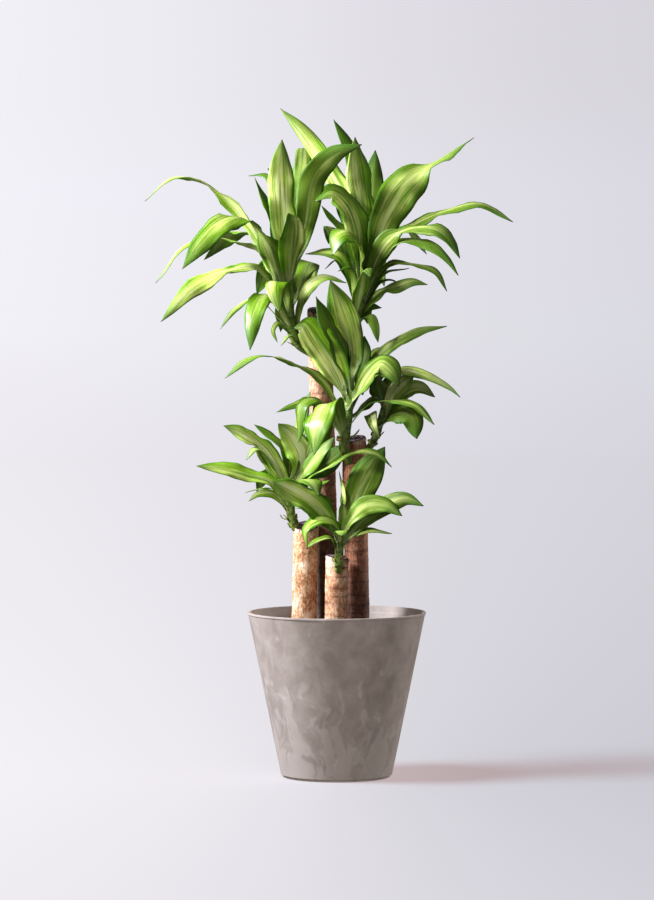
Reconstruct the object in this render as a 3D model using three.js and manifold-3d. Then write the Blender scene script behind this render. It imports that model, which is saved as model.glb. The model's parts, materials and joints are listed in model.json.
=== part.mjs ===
// A potted dracaena: four cut canes of different heights stand in a tapered pot,
// and near its top each cane carries one or two shoots of arching, striped leaves.
// Millimetres, +Z up, the front at -Y. The origin is the middle of the pot's underside.

import * as THREE from "three";
import { mergeVertices } from "three/addons/utils/BufferGeometryUtils.js";
import Module from "manifold-3d";

const wasm = await Module();
wasm.setup();

// Driving dimensions

const GAP = 0.3; // air between pieces that touch
const WELD = 0.002; // vertices nearer than this are one

const POT_HEIGHT = 305;
const POT_RIM_RADIUS = 165;
const POT_BASE_RADIUS = 102;
const POT_WALL = 6;
const POT_FLOOR = 9;
const POT_SIDES = 36;
const LIP_HEIGHT = 4;
const LIP_PROUD = 1.6;
const FOOT_HEIGHT = 4;
const FOOT_INSET = 3;
const LEDGE_DEPTH = 13; // from the rim down to the step inside
const LEDGE_STEP = 1.5;

const SOIL_DEPTH = 50; // from the rim down to the soil
const SOIL_CROWN = 6; // how much the soil rises round the canes
const SOIL_ROOM = 20; // from the pot's floor up to the canes' feet

const CANE_SIDES = 10;
const RING_SPACING = 58; // between the leaf scars that swell the cane
const RING_SWELL = 0.03; // part of the radius
const HOLE_RINGS = 4;

const STEM_SIDES = 8;
const STEM_RINGS = 7;

const BLADE_THICKNESS = 1.2;
const STATION_SPACING = 42;
const WAVE_LENGTH = 85;
const WAVE_HEIGHT = 0.08; // part of the blade's width
const WAVE_TURN = 2.4; // radians from one leaf's wave to the next leaf's
const ROOT_FOLD = 1.55; // radians from midrib to margin where the leaf clasps its stem
const OPEN_FOLD = 0.3; // the same, towards the tip

// Each cane: the middle of its foot, of its waist and of its cut top, then its radius.
const CANES = {
  cane_left: { path: [[-61, 2, 0], [-60, 1, 300], [-56, 0, 465]], radius: 23 },
  cane_front: { path: [[-1, -40, 0], [-1, -41, 300], [1, -42, 410]], radius: 21 },
  cane_right: { path: [[40, 8, 0], [38, 5, 300], [32, 2, 626]], radius: 22.5 },
  cane_tall: { path: [[-14, 48, 0], [-18, 47, 300], [-32, 40, 862]], radius: 22.5 },
};

// Each shoot: the cane it grows on, its stem, the stem's radius along it, the bare part
// of the stem, and its leaves from the lowest up. A leaf is the points that its midrib
// passes through after the stem, its width, and the degrees by which its upper face
// turns towards the front at its root and at its tip.
const SHOOTS = {
  shoot_upper_left: {
    cane: "cane_tall", stem: [[-45, 36, 782], [-72, 26, 803], [-87, 16, 850], [-90, 10, 940]],
    radius: [9, 11, 10, 7], bare: 0.18,
    leaves: [
      [[[-90, 5, 814], [-103, 0, 797]], 14, 0, 0],
      [[[-108, 0, 838], [-117, -3, 825], [-109, -5, 802]], 10, 60, 60],
      [[[-55, 0, 900], [-20, 0, 923], [18, -5, 912]], 28, 50, 55],
      [[[-150, -15, 884], [-185, -25, 866], [-214, -35, 828]], 18, 20, 60],
      [[[-128, -45, 892], [-150, -85, 860], [-158, -100, 790]], 44, 0, 20],
      [[[-95, 60, 880], [-100, 100, 870], [-105, 125, 820]], 36, 0, 0],
      [[[-108, -35, 915], [-112, -62, 905], [-105, -85, 860]], 42, 0, 0],
      [[[-105, 60, 930], [-125, 120, 945], [-150, 170, 890]], 45, 0, 0],
      [[[-150, -30, 940], [-200, -50, 935], [-260, -80, 906], [-320, -110, 842]], 42, 20, 45],
      [[[-60, 60, 930], [-50, 120, 950], [-45, 170, 905]], 42, 0, 0],
      [[[-140, 20, 965], [-200, 10, 992], [-275, -10, 985], [-333, -25, 912]], 34, 40, 30],
      [[[-130, -30, 990], [-175, -60, 1027], [-225, -100, 1000], [-280, -140, 938]], 54, 10, 45],
      [[[-130, 70, 990], [-190, 130, 1005], [-250, 190, 955]], 48, 0, 0],
      [[[-140, 0, 985], [-190, -10, 1050], [-240, -20, 1095], [-300, -30, 1107], [-352, -40, 1062]], 34, 60, 15],
      [[[-85, 80, 1010], [-80, 150, 1050], [-100, 210, 1000]], 50, 0, 0],
      [[[-120, 60, 1040], [-152, 90, 1108]], 30, 0, 0],
      [[[-110, 70, 1070], [-130, 100, 1112], [-165, 120, 1112]], 24, 0, 0],
      [[[-84, -35, 985], [-78, -60, 1033], [-74, -115, 1020]], 44, 0, 0],
      [[[-105, 60, 1060], [-110, 95, 1120], [-125, 150, 1120]], 46, 0, 0],
      [[[-75, 45, 1010], [-60, 60, 1100], [-58, 90, 1160], [-60, 140, 1150]], 42, 0, 0],
      [[[-58, -10, 1020], [-42, -25, 1105], [-2, -35, 1148], [46, -40, 1166]], 58, 55, 60],
      [[[-98, 25, 1010], [-102, 35, 1100], [-101, 50, 1178]], 54, 0, 0],
      [[[-88, 12, 1000], [-86, 15, 1040]], 14, 0, 0],
    ],
  },
  shoot_upper_right: {
    cane: "cane_tall", stem: [[-16, 37, 800], [18, 26, 818], [38, 16, 850], [46, 10, 945]],
    radius: [9, 11, 10, 7], bare: 0.22,
    leaves: [
      [[[60, 0, 852], [70, -8, 835], [76, -12, 803]], 20, 10, 40],
      [[[62, 10, 868], [83, 15, 866]], 14, 30, 30],
      [[[85, -5, 898], [110, -8, 904], [140, -15, 914], [167, -20, 909]], 24, 50, 60],
      [[[80, 20, 913], [105, 25, 917], [122, 28, 900]], 12, 30, 30],
      [[[46, -30, 920], [48, -60, 937], [46, -90, 890]], 36, 0, 0],
      [[[50, 60, 890], [52, 110, 885], [58, 140, 835]], 38, 0, 0],
      [[[25, -30, 942], [2, -50, 934]], 18, 20, 20],
      [[[95, 0, 945], [130, -5, 948], [180, -20, 935], [202, -30, 897]], 22, 30, 40],
      [[[85, 40, 928], [135, 60, 939]], 12, 20, 20],
      [[[10, -5, 962], [-20, -5, 970], [-58, 0, 966]], 30, 40, 40],
      [[[0, 20, 955], [-22, 30, 938]], 18, 0, 0],
      [[[60, 80, 960], [75, 150, 965], [90, 200, 905]], 46, 0, 0],
      [[[110, -20, 985], [160, -40, 986], [200, -60, 958], [222, -70, 926]], 28, 20, 40],
      [[[10, 60, 985], [-5, 110, 1015], [-15, 165, 985]], 44, 0, 0],
      [[[90, -20, 985], [130, -40, 1010], [180, -65, 1012], [208, -80, 990], [224, -90, 957]], 50, 50, 10],
      [[[110, 30, 1000], [150, 25, 1022], [200, 15, 1044], [265, 0, 1056], [324, -15, 1024]], 34, 10, 45],
      [[[42, -30, 985], [22, -48, 1008], [2, -60, 1000], [-9, -66, 964]], 54, 45, 0],
      [[[95, 70, 1000], [135, 130, 1012], [170, 190, 965]], 48, 0, 0],
      [[[35, 90, 1020], [20, 160, 1060], [10, 225, 1025]], 48, 0, 0],
      [[[85, 10, 1020], [118, 15, 1080], [158, 25, 1118], [203, 30, 1148], [254, 35, 1180]], 68, 60, 35],
      [[[40, -8, 1010], [18, -14, 1062], [-10, -18, 1082], [-40, -22, 1062]], 54, 60, 45],
      [[[20, 20, 1000], [-5, 25, 1030], [-28, 25, 1055]], 30, 30, 30],
      [[[62, 50, 1060], [72, 70, 1158]], 42, 0, 0],
      [[[90, 60, 1040], [120, 100, 1095], [150, 150, 1110]], 48, 0, 0],
      [[[30, 40, 1040], [-15, 60, 1125], [-60, 70, 1190], [-105, 80, 1236]], 44, 50, 60],
      [[[45, 55, 1080], [25, 60, 1160], [-6, 60, 1215]], 34, 30, 30],
      [[[50, 20, 1040], [42, 25, 1120], [34, 30, 1182]], 56, 0, 0],
      [[[48, 12, 1000], [50, 15, 1040]], 14, 0, 0],
    ],
  },
  shoot_middle: {
    cane: "cane_right", stem: [[24, -12, 582], [14, -28, 612], [19, -32, 665], [24, -30, 722]],
    radius: [8, 10, 10, 7], bare: 0.3,
    leaves: [
      [[[32, -36, 632], [42, -40, 644]], 12, 0, 0],
      [[[-15, -70, 692], [-35, -105, 665], [-42, -115, 600]], 62, 0, 0],
      [[[-40, -50, 700], [-62, -60, 690], [-70, -65, 620]], 36, 0, 20],
      [[[-40, -20, 694], [-80, -30, 688], [-111, -35, 675]], 20, 40, 50],
      [[[60, -45, 688], [100, -60, 697], [145, -75, 688], [178, -85, 654]], 20, 30, 50],
      [[[-20, -20, 722], [-60, -30, 755], [-110, -40, 776], [-155, -50, 778], [-205, -60, 738]], 30, 20, 40],
      [[[70, -25, 700], [82, -30, 690]], 30, 20, 20],
      [[[30, 60, 720], [40, 120, 740], [50, 170, 700]], 46, 0, 0],
      [[[60, -10, 730], [110, -20, 752], [160, -35, 744], [205, -50, 722], [226, -60, 703]], 34, 20, 45],
      [[[60, 10, 755], [100, 15, 795], [150, 20, 822], [204, 20, 832]], 28, 40, 40],
      [[[70, 50, 740], [110, 100, 745], [130, 140, 710]], 42, 0, 0],
      [[[38, -42, 725], [62, -55, 760], [95, -68, 754], [113, -72, 722]], 60, 60, 20],
      [[[55, 70, 760], [75, 120, 790], [90, 160, 770]], 42, 0, 0],
      [[[50, 40, 730], [72, 65, 755], [85, 75, 730]], 44, 10, 10],
      [[[35, 10, 750], [52, 25, 814]], 52, 0, 0],
      [[[-5, -45, 762], [-36, -52, 812], [-58, -58, 845], [-78, -62, 822]], 60, 65, 50],
      [[[12, -25, 760], [-10, -30, 830], [-38, -32, 888]], 40, 55, 50],
      [[[25, -12, 780], [8, -20, 850], [-16, -28, 918]], 60, 60, 50],
      [[[25, -30, 760], [26, -30, 790]], 12, 0, 0],
    ],
  },
  shoot_right: {
    cane: "cane_right", stem: [[50, 1, 600], [65, -5, 616], [77, -8, 645], [88, -8, 688]],
    radius: [6, 7, 7, 5], bare: 0.45,
    leaves: [
      [[[62, -30, 672], [66, -40, 650], [79, -42, 627]], 24, 0, 30],
      [[[115, -35, 685], [138, -50, 675], [147, -55, 627]], 56, 40, 30],
      [[[105, 30, 668], [130, 55, 672], [140, 65, 650]], 30, 0, 0],
      [[[130, -5, 716], [155, -10, 720], [181, -12, 702]], 30, 50, 60],
      [[[100, 50, 700], [130, 100, 690]], 32, 0, 0],
      [[[110, -15, 715], [143, -20, 749]], 32, 60, 60],
      [[[95, 25, 720], [105, 40, 752]], 28, 0, 0],
      [[[80, 10, 712], [74, 14, 738]], 40, 0, 0],
    ],
  },
  shoot_low_left: {
    cane: "cane_left", stem: [[-66, 0, 446], [-80, -3, 470], [-86, -5, 505], [-80, -8, 552]],
    radius: [7, 8, 9, 6], bare: 0.3,
    leaves: [
      [[[-98, -8, 478], [-104, -10, 486]], 8, 0, 0],
      [[[-115, -10, 522], [-145, -20, 524], [-162, -25, 511]], 18, 40, 50],
      [[[-120, 10, 533], [-150, 15, 531], [-169, 15, 525]], 12, 0, 0],
      [[[-95, 50, 520], [-110, 90, 520], [-125, 115, 480]], 34, 0, 0],
      [[[-120, -20, 545], [-165, -30, 562], [-210, -40, 574], [-258, -45, 577]], 32, 50, 50],
      [[[-62, -50, 550], [-42, -85, 548], [-32, -105, 524]], 44, 0, 0],
      [[[-100, 60, 560], [-130, 110, 560], [-150, 140, 520]], 38, 0, 0],
      [[[-115, 20, 560], [-140, 30, 596]], 24, 20, 20],
      [[[-125, -25, 590], [-150, -40, 610], [-166, -50, 588]], 26, 30, 20],
      [[[-40, -60, 560], [0, -78, 585], [40, -88, 606], [72, -94, 603], [100, -98, 577]], 22, 50, 60],
      [[[-112, -15, 575], [-140, -25, 615], [-175, -35, 640], [-208, -40, 651]], 44, 50, 50],
      [[[-92, 25, 600], [-122, 35, 632], [-153, 40, 650]], 30, 30, 30],
      [[[-75, 60, 590], [-75, 100, 615], [-85, 130, 600]], 36, 0, 0],
      [[[-45, -25, 580], [-22, -35, 610], [-3, -42, 630]], 34, 50, 50],
      [[[-66, -10, 590], [-85, -12, 630], [-108, -15, 654]], 52, 50, 50],
      [[[-70, 10, 610], [-64, 15, 670], [-48, 12, 712]], 30, 20, 20],
    ],
  },
  shoot_low_left_small: {
    cane: "cane_left", stem: [[-52, -10, 446], [-45, -22, 472], [-46, -25, 515]],
    radius: [5, 6, 4], bare: 0.4,
    leaves: [
      [[[-60, -32, 498], [-76, -34, 499]], 12, 0, 0],
      [[[-28, -38, 516], [-5, -45, 511]], 22, 30, 30],
      [[[-32, -32, 540], [-13, -36, 550]], 26, 30, 30],
      [[[-52, -36, 530], [-58, -42, 534]], 16, 0, 0],
    ],
  },
  shoot_front: {
    cane: "cane_front", stem: [[3, -52, 380], [4, -70, 398], [5, -75, 430], [6, -72, 462]],
    radius: [7, 8, 8, 5], bare: 0.45,
    leaves: [
      [[[-12, -80, 447], [-35, -88, 445], [-56, -92, 429]], 14, 30, 30],
      [[[28, -80, 450], [60, -85, 461], [101, -90, 455]], 16, 30, 30],
      [[[-18, -90, 466], [-42, -105, 470], [-60, -112, 455], [-53, -115, 432]], 30, 30, 10],
      [[[50, -85, 480], [90, -95, 507], [125, -105, 520], [158, -112, 507]], 34, 50, 55],
      [[[6, -95, 452], [8, -125, 462], [10, -150, 455]], 26, 0, 0],
      [[[25, -85, 480], [52, -100, 506], [90, -110, 508], [119, -115, 489]], 38, 50, 30],
      [[[-18, -84, 482], [-50, -98, 516], [-88, -108, 540], [-119, -115, 552]], 52, 55, 50],
      [[[12, -70, 500], [4, -62, 568]], 20, 50, 50],
      [[[28, -70, 500], [55, -65, 560], [88, -60, 613]], 58, 60, 60],
      [[[12, -82, 480], [10, -88, 512]], 20, 0, 0],
    ],
  },
};

const COLOURS = {
  pot: { color: "#9c948e", roughness: 0.85 },
  soil: { color: "#33261c", roughness: 1 },
  cane: { color: "#9a7352", roughness: 0.8 },
  leaf: { color: "#5f8f24", roughness: 0.35 },
};

// Shared helpers

const smoothstep = THREE.MathUtils.smoothstep;
const point = ([x, y, z]) => new THREE.Vector3(x, y, z);
const curveThrough = (points) => new THREE.CatmullRomCurve3(points, false, "centripetal");
const wallRadius = (z) => THREE.MathUtils.mapLinear(
  z, 0, POT_HEIGHT, POT_BASE_RADIUS, POT_RIM_RADIUS - LIP_PROUD);

// The entry of a short list at a place from 0 to 1 along it.
function along(list, place) {
  const step = Math.min(Math.floor(place * (list.length - 1)), list.length - 2);
  return THREE.MathUtils.lerp(list[step], list[step + 1], place * (list.length - 1) - step);
}

// A closed mesh with shared vertices and its faces pointing out. Triangles that sharing
// leaves flat are dropped, and so are two that lie back to back on the same corners.
function closed(geometry) {
  geometry.deleteAttribute("normal");
  geometry.deleteAttribute("uv");
  const merged = mergeVertices(geometry, WELD);
  const corner = [new THREE.Vector3(), new THREE.Vector3(), new THREE.Vector3()];
  const triangles = new Map();
  let volume = 0;
  for (let i = 0; i < merged.index.count; i += 3) {
    const triangle = [0, 1, 2].map((k) => merged.index.getX(i + k));
    if (new Set(triangle).size < 3) continue;
    corner.forEach((place, k) => place.fromBufferAttribute(merged.attributes.position, triangle[k]));
    volume += corner[0].dot(corner[1].cross(corner[2]));
    const key = [...triangle].sort().join();
    if (triangles.has(key)) triangles.delete(key);
    else triangles.set(key, triangle);
  }
  const kept = [...triangles.values()];
  if (volume < 0) kept.forEach((triangle) => triangle.reverse());
  merged.setIndex(kept.flat());
  return merged;
}

// Rows of points, each row a closed loop, skinned from one to the next and capped.
// The second half of a loop mirrors the first, so both are split into triangles alike.
function skin(rows) {
  const count = rows[0].length;
  const half = count / 2;
  const triangles = [];
  const quad = (a, b, c, d) => triangles.push(a, b, c, a, c, d);
  for (let r = 0; r < rows.length - 1; r += 1) {
    for (let k = 0; k < count; k += 1) {
      const next = (k + 1) % count;
      const [near, far] = [r * count, (r + 1) * count];
      if (k < half) quad(near + k, near + next, far + next, far + k);
      else quad(near + next, far + next, far + k, near + k);
    }
  }
  const last = (rows.length - 1) * count;
  for (let k = 0; k < half - 1; k += 1) {
    const corners = [k, k + 1, count - 2 - k, count - 1 - k];
    quad(...corners.toReversed());
    quad(...corners.map((corner) => last + corner));
  }
  const geometry = new THREE.BufferGeometry().setFromPoints(rows.flat());
  geometry.setIndex(triangles);
  return closed(geometry);
}

function toSolid(geometry) {
  return new wasm.Manifold(new wasm.Mesh({
    numProp: 3,
    vertProperties: new Float32Array(geometry.attributes.position.array),
    triVerts: new Uint32Array(geometry.index.array),
  }));
}

// The solid's largest body. Its sealed hollows are filled and its loose scraps dropped.
function toGeometry(solid) {
  const { vertProperties, triVerts } = solid.getMesh();
  const geometry = new THREE.BufferGeometry();
  geometry.setAttribute("position", new THREE.BufferAttribute(vertProperties, 3));
  geometry.setIndex([...triVerts]);
  const whole = closed(geometry);
  const corners = [...whole.index.array];
  const leader = Uint32Array.from({ length: whole.attributes.position.count }, (_, vertex) => vertex);
  const lead = (vertex) => {
    while (leader[vertex] !== vertex) vertex = leader[vertex];
    return vertex;
  };
  corners.forEach((corner, k) => { leader[lead(corner)] = lead(corners[k - (k % 3)]); });
  const bodies = Map.groupBy(corners, lead);
  whole.setIndex([...bodies.values()].sort((one, other) => other.length - one.length)[0]);
  return whole;
}

function mesh(name, geometry, finish) {
  const piece = new THREE.Mesh(geometry, new THREE.MeshStandardMaterial({ metalness: 0, ...finish }));
  piece.name = name;
  return piece;
}

// A round bar along a curve, with a radius for each place from 0 to 1 along it.
function bar(curve, radiusAt, sides, rings) {
  const rows = curve.getSpacedPoints(rings).map((centre, ring) => {
    const tangent = curve.getTangentAt(ring / rings);
    const side = new THREE.Vector3(0, 1, 0).cross(tangent).normalize();
    const front = new THREE.Vector3().crossVectors(tangent, side);
    return Array.from({ length: sides }, (_, k) => {
      const angle = (2 * Math.PI * k) / sides;
      return centre.clone()
        .addScaledVector(side, radiusAt(ring / rings) * Math.cos(angle))
        .addScaledVector(front, radiusAt(ring / rings) * Math.sin(angle));
    });
  });
  return skin(rows);
}

// Pot

function pot() {
  const rim = POT_RIM_RADIUS;
  const inside = (z) => wallRadius(z) - POT_WALL;
  const [lip, ledge] = [POT_HEIGHT - LIP_HEIGHT, POT_HEIGHT - LEDGE_DEPTH];
  const profile = [
    [0, 0],
    [POT_BASE_RADIUS - FOOT_INSET - 1, 0],
    [POT_BASE_RADIUS - FOOT_INSET, 1],
    [POT_BASE_RADIUS - FOOT_INSET, FOOT_HEIGHT],
    [wallRadius(FOOT_HEIGHT) - 1, FOOT_HEIGHT],
    [wallRadius(FOOT_HEIGHT), FOOT_HEIGHT + 1.5],
    [wallRadius(lip), lip],
    [rim, lip + 1],
    [rim, POT_HEIGHT - 1.2],
    [rim - 1.2, POT_HEIGHT],
    [rim - POT_WALL + 1, POT_HEIGHT],
    [rim - POT_WALL, POT_HEIGHT - 1.2],
    [inside(ledge) + LEDGE_STEP, ledge + 1.5],
    [inside(ledge), ledge],
    [inside(POT_FLOOR + 6), POT_FLOOR + 6],
    [inside(POT_FLOOR) - 6, POT_FLOOR],
    [0, POT_FLOOR],
  ].map(([r, z]) => new THREE.Vector2(r, z));
  const geometry = new THREE.LatheGeometry(profile, POT_SIDES).rotateX(Math.PI / 2);
  return mesh("pot", closed(geometry), COLOURS.pot);
}

// Canes

function caneCurve(name, spare = 0) {
  const curve = curveThrough(CANES[name].path.map(point));
  const foot = (POT_FLOOR + SOIL_ROOM) / curve.getPointAt(1).z;
  const centres = [0, 0.25, 0.5, 0.75, 1].map((place) => curve.getPointAt(foot + (1 - foot) * place));
  centres[0].z -= spare;
  centres[4].z += spare;
  return curveThrough(centres);
}

function cane(name, spare = 0) {
  const curve = caneCurve(name, spare);
  const scars = Math.round(curve.getLength() / RING_SPACING);
  const swell = (place) => 1 + RING_SWELL * Math.cos(2 * Math.PI * scars * place);
  const around = spare / Math.cos(Math.PI / CANE_SIDES);
  return bar(curve, (place) => CANES[name].radius * swell(place) + around, CANE_SIDES, 2 * scars);
}

// Soil

function soilHole(name) {
  const radius = CANES[name].radius * (1 + RING_SWELL) + GAP / Math.cos(Math.PI / CANE_SIDES);
  return bar(caneCurve(name, GAP), () => radius, CANE_SIDES, HOLE_RINGS);
}

function soil() {
  const top = POT_HEIGHT - SOIL_DEPTH;
  const inside = (z) => wallRadius(z) - POT_WALL - GAP;
  const profile = [
    [0, POT_FLOOR + GAP],
    [inside(POT_FLOOR) - 6.5, POT_FLOOR + GAP],
    [inside(POT_FLOOR + 6) - 0.2, POT_FLOOR + 6.5],
    [inside(top), top],
    [0.75 * inside(top), top + 0.4 * SOIL_CROWN],
    [0.4 * inside(top), top + 0.9 * SOIL_CROWN],
    [0, top + SOIL_CROWN],
  ].map(([r, z]) => new THREE.Vector2(r, z));
  const filling = closed(new THREE.LatheGeometry(profile, POT_SIDES).rotateX(Math.PI / 2));
  const holed = Object.keys(CANES).reduce(
    (body, name) => body.subtract(toSolid(soilHole(name))), toSolid(filling));
  return mesh("soil", toGeometry(holed), COLOURS.soil);
}

// Shoots

// Part of the full width that a blade has at a place along it.
function outline(place) {
  if (place < 0.5) return 0.32 + 0.68 * smoothstep(place, 0, 0.5);
  return Math.cos((Math.PI / 2) * ((place - 0.5) / 0.5) ** 1.6);
}

function blade(axis, place, [points, width, rootRoll, tipRoll], number) {
  const root = axis.getPointAt(place);
  const out = point(points.at(-1)).sub(root).setZ(0).normalize();
  const midrib = curveThrough([root.clone().addScaledVector(out, 3), ...points.map(point)]);
  const stations = THREE.MathUtils.clamp(Math.round(midrib.getLength() / STATION_SPACING), 3, 7);
  const waves = midrib.getLength() / WAVE_LENGTH;
  const across = new THREE.Vector3(0, 0, 1).cross(out);
  if (across.y < 0) across.negate();
  const rows = midrib.getSpacedPoints(stations).map((centre, station) => {
    const s = station / stations;
    const tangent = midrib.getTangentAt(s);
    across.addScaledVector(tangent, -across.dot(tangent)).normalize();
    const up = new THREE.Vector3().crossVectors(tangent, across);
    if (new THREE.Vector3(0, 0, 1).cross(out).dot(across) < 0) up.negate();
    const roll = THREE.MathUtils.degToRad(THREE.MathUtils.lerp(rootRoll, tipRoll, s));
    const side = across.clone().multiplyScalar(Math.cos(roll)).addScaledVector(up, Math.sin(roll));
    const face = up.clone().multiplyScalar(Math.cos(roll)).addScaledVector(across, -Math.sin(roll));
    const fold = (ROOT_FOLD - OPEN_FOLD) * (1 - s) ** 3 + OPEN_FOLD;
    const half = Math.max((width / 2) * outline(s), BLADE_THICKNESS / 2);
    const margin = (way) => {
      const wave = WAVE_HEIGHT * width * Math.sin(Math.PI * s)
        * Math.sin(2 * Math.PI * waves * s + WAVE_TURN * number + way);
      return centre.clone()
        .addScaledVector(side, (way * half * Math.sin(fold)) / fold)
        .addScaledVector(face, (half * (1 - Math.cos(fold))) / fold + wave);
    };
    const upper = [margin(-1), centre.clone(), margin(1)];
    const lower = upper.map((corner) => corner.clone().addScaledVector(face, -BLADE_THICKNESS));
    return [...upper, ...lower.reverse()];
  });
  return skin(rows);
}

function shoot(name) {
  const { cane: carrier, stem, radius, bare, leaves } = SHOOTS[name];
  const axis = curveThrough(stem.map(point));
  const leafPlace = (number) => bare + ((1 - bare) * (number + 0.5)) / leaves.length;
  const blades = leaves.map((leaf, number) => blade(axis, leafPlace(number), leaf, number));
  const stalk = bar(axis, (place) => along(radius, place), STEM_SIDES, STEM_RINGS);
  const joined = blades.reduce((body, leaf) => body.add(toSolid(leaf)), toSolid(stalk));
  return mesh(name, toGeometry(joined.subtract(toSolid(cane(carrier, GAP)))), COLOURS.leaf);
}

// The whole plant

const dracaena = new THREE.Group();
dracaena.add(pot(), soil());
Object.keys(CANES).forEach((name) => dracaena.add(mesh(name, cane(name), COLOURS.cane)));
Object.keys(SHOOTS).forEach((name) => dracaena.add(shoot(name)));

export default dracaena;
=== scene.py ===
# Potted dracaena: four cut canes in a cast pot, with seven shoots of striped strap leaves.
# Metres, +Z up, the front at -Y, the origin in the middle of the pot's underside.
import json
import math
import random

import bmesh
import bpy
from mathutils import Matrix, Vector, noise

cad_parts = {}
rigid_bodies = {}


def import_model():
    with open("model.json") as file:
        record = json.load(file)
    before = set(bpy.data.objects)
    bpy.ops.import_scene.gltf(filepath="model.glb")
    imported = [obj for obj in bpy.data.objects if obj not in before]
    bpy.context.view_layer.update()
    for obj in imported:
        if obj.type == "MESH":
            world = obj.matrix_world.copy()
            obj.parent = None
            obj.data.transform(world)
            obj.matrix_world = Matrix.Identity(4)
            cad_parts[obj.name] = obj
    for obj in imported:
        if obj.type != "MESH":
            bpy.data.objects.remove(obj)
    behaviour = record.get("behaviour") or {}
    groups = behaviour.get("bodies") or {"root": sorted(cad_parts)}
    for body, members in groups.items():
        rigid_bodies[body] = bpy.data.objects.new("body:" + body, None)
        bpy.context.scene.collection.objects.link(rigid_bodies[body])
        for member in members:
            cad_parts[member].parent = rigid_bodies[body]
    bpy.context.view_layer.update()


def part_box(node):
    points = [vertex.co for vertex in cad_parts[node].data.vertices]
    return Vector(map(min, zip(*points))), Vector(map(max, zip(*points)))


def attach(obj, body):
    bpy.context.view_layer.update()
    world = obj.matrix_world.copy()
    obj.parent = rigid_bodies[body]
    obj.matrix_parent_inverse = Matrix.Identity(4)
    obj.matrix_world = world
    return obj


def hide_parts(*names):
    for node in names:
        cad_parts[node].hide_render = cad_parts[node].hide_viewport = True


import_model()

MM = 0.001


# Pot
# A tapered planter cast in one piece from resin and stone powder. The mould leaves a thin
# rounded lip, a small step inside below the rim, and a foot set back where it stands.

pot_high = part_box("pot")[1]
RIM_RADIUS = pot_high.x
POT_HEIGHT = pot_high.z
BASE_RADIUS = 102 * MM
POT_WALL = 6 * MM
POT_FLOOR = 9 * MM
LIP_HEIGHT = 4 * MM
LIP_PROUD = 0.7 * MM
FOOT_HEIGHT = 4 * MM
FOOT_INSET = 3 * MM
LEDGE_DEPTH = 13 * MM
LEDGE_STEP = 1.5 * MM
LIP_SLOPE = 0.5 * MM
POT_STEPS = 160
FILLET_STEPS = 4
SAME_PLACE = 1e-6


def colour(hex_value):
    """The linear colour of an sRGB hex value."""
    channels = [int(hex_value[start:start + 2], 16) / 255 for start in (1, 3, 5)]
    linear = [c / 12.92 if c <= 0.04045 else ((c + 0.055) / 1.055) ** 2.4 for c in channels]
    return (*linear, 1.0)


def new_material(name):
    """An empty material and its surface shader."""
    material = bpy.data.materials.new(name)
    material.use_nodes = True
    return material, material.node_tree.nodes["Principled BSDF"]


def fill(material, made, inputs):
    """Sets a node's inputs, by name or number, or all in order from a list. Where the value is
    another node, that node's main output is linked."""
    named = inputs.items() if isinstance(inputs, dict) else enumerate(inputs)
    for name, value in named:
        if isinstance(value, bpy.types.Node):
            value = next(output for output in value.outputs if output.enabled)
        if isinstance(value, bpy.types.NodeSocket):
            material.node_tree.links.new(value, made.inputs[name])
        else:
            made.inputs[name].default_value = value


def node(material, kind, inputs=(), stops=(), **settings):
    """Adds a node, sets it up, and fills its inputs. A MapRange lists its value, the two ends
    that it is read between, and what they become."""
    made = material.node_tree.nodes.new("ShaderNode" + kind)
    for name, value in settings.items():
        setattr(made, name, value)
    for place, (position, value) in enumerate(stops):
        ramp = made.color_ramp.elements
        stop = ramp[place] if place < len(ramp) else ramp.new(position)
        stop.position = position
        stop.color = colour(value) if isinstance(value, str) else (value, value, value, 1.0)
    fill(material, made, inputs)
    return made


def new_piece(name, mesh, *materials):
    """A smooth-shaded object from a bmesh."""
    data = bpy.data.meshes.new(name)
    mesh.to_mesh(data)
    mesh.free()
    for material in materials:
        data.materials.append(material)
    data.shade_smooth()
    piece = bpy.data.objects.new(name, data)
    bpy.context.collection.objects.link(piece)
    return piece


def wall_radius(z):
    return BASE_RADIUS + (RIM_RADIUS - LIP_PROUD - BASE_RADIUS) * z / POT_HEIGHT


def spun(profile, steps):
    """A bmesh turned round the Z axis from (radius, height) points that run up the outside."""
    mesh = bmesh.new()
    verts = [mesh.verts.new((r, 0, z)) for r, z in profile]
    edges = [mesh.edges.new(pair) for pair in zip(verts, verts[1:])]
    bmesh.ops.spin(mesh, geom=verts + edges, axis=(0, 0, 1), cent=(0, 0, 0),
                   angle=2 * math.pi, steps=steps, use_merge=True)
    bmesh.ops.remove_doubles(mesh, verts=mesh.verts, dist=SAME_PLACE)
    bmesh.ops.recalc_face_normals(mesh, faces=mesh.faces)
    return mesh


def fillet(profile, corner, radius):
    """The profile with one corner rounded."""
    before, middle, after = (Vector(profile[corner + way]) for way in (-1, 0, 1))
    start = middle + (before - middle).normalized() * radius
    end = middle + (after - middle).normalized() * radius
    shares = [step / FILLET_STEPS for step in range(FILLET_STEPS + 1)]
    arc = [start.lerp(middle, share).lerp(middle.lerp(end, share), share) for share in shares]
    return profile[:corner] + [tuple(point) for point in arc] + profile[corner + 1:]


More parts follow.
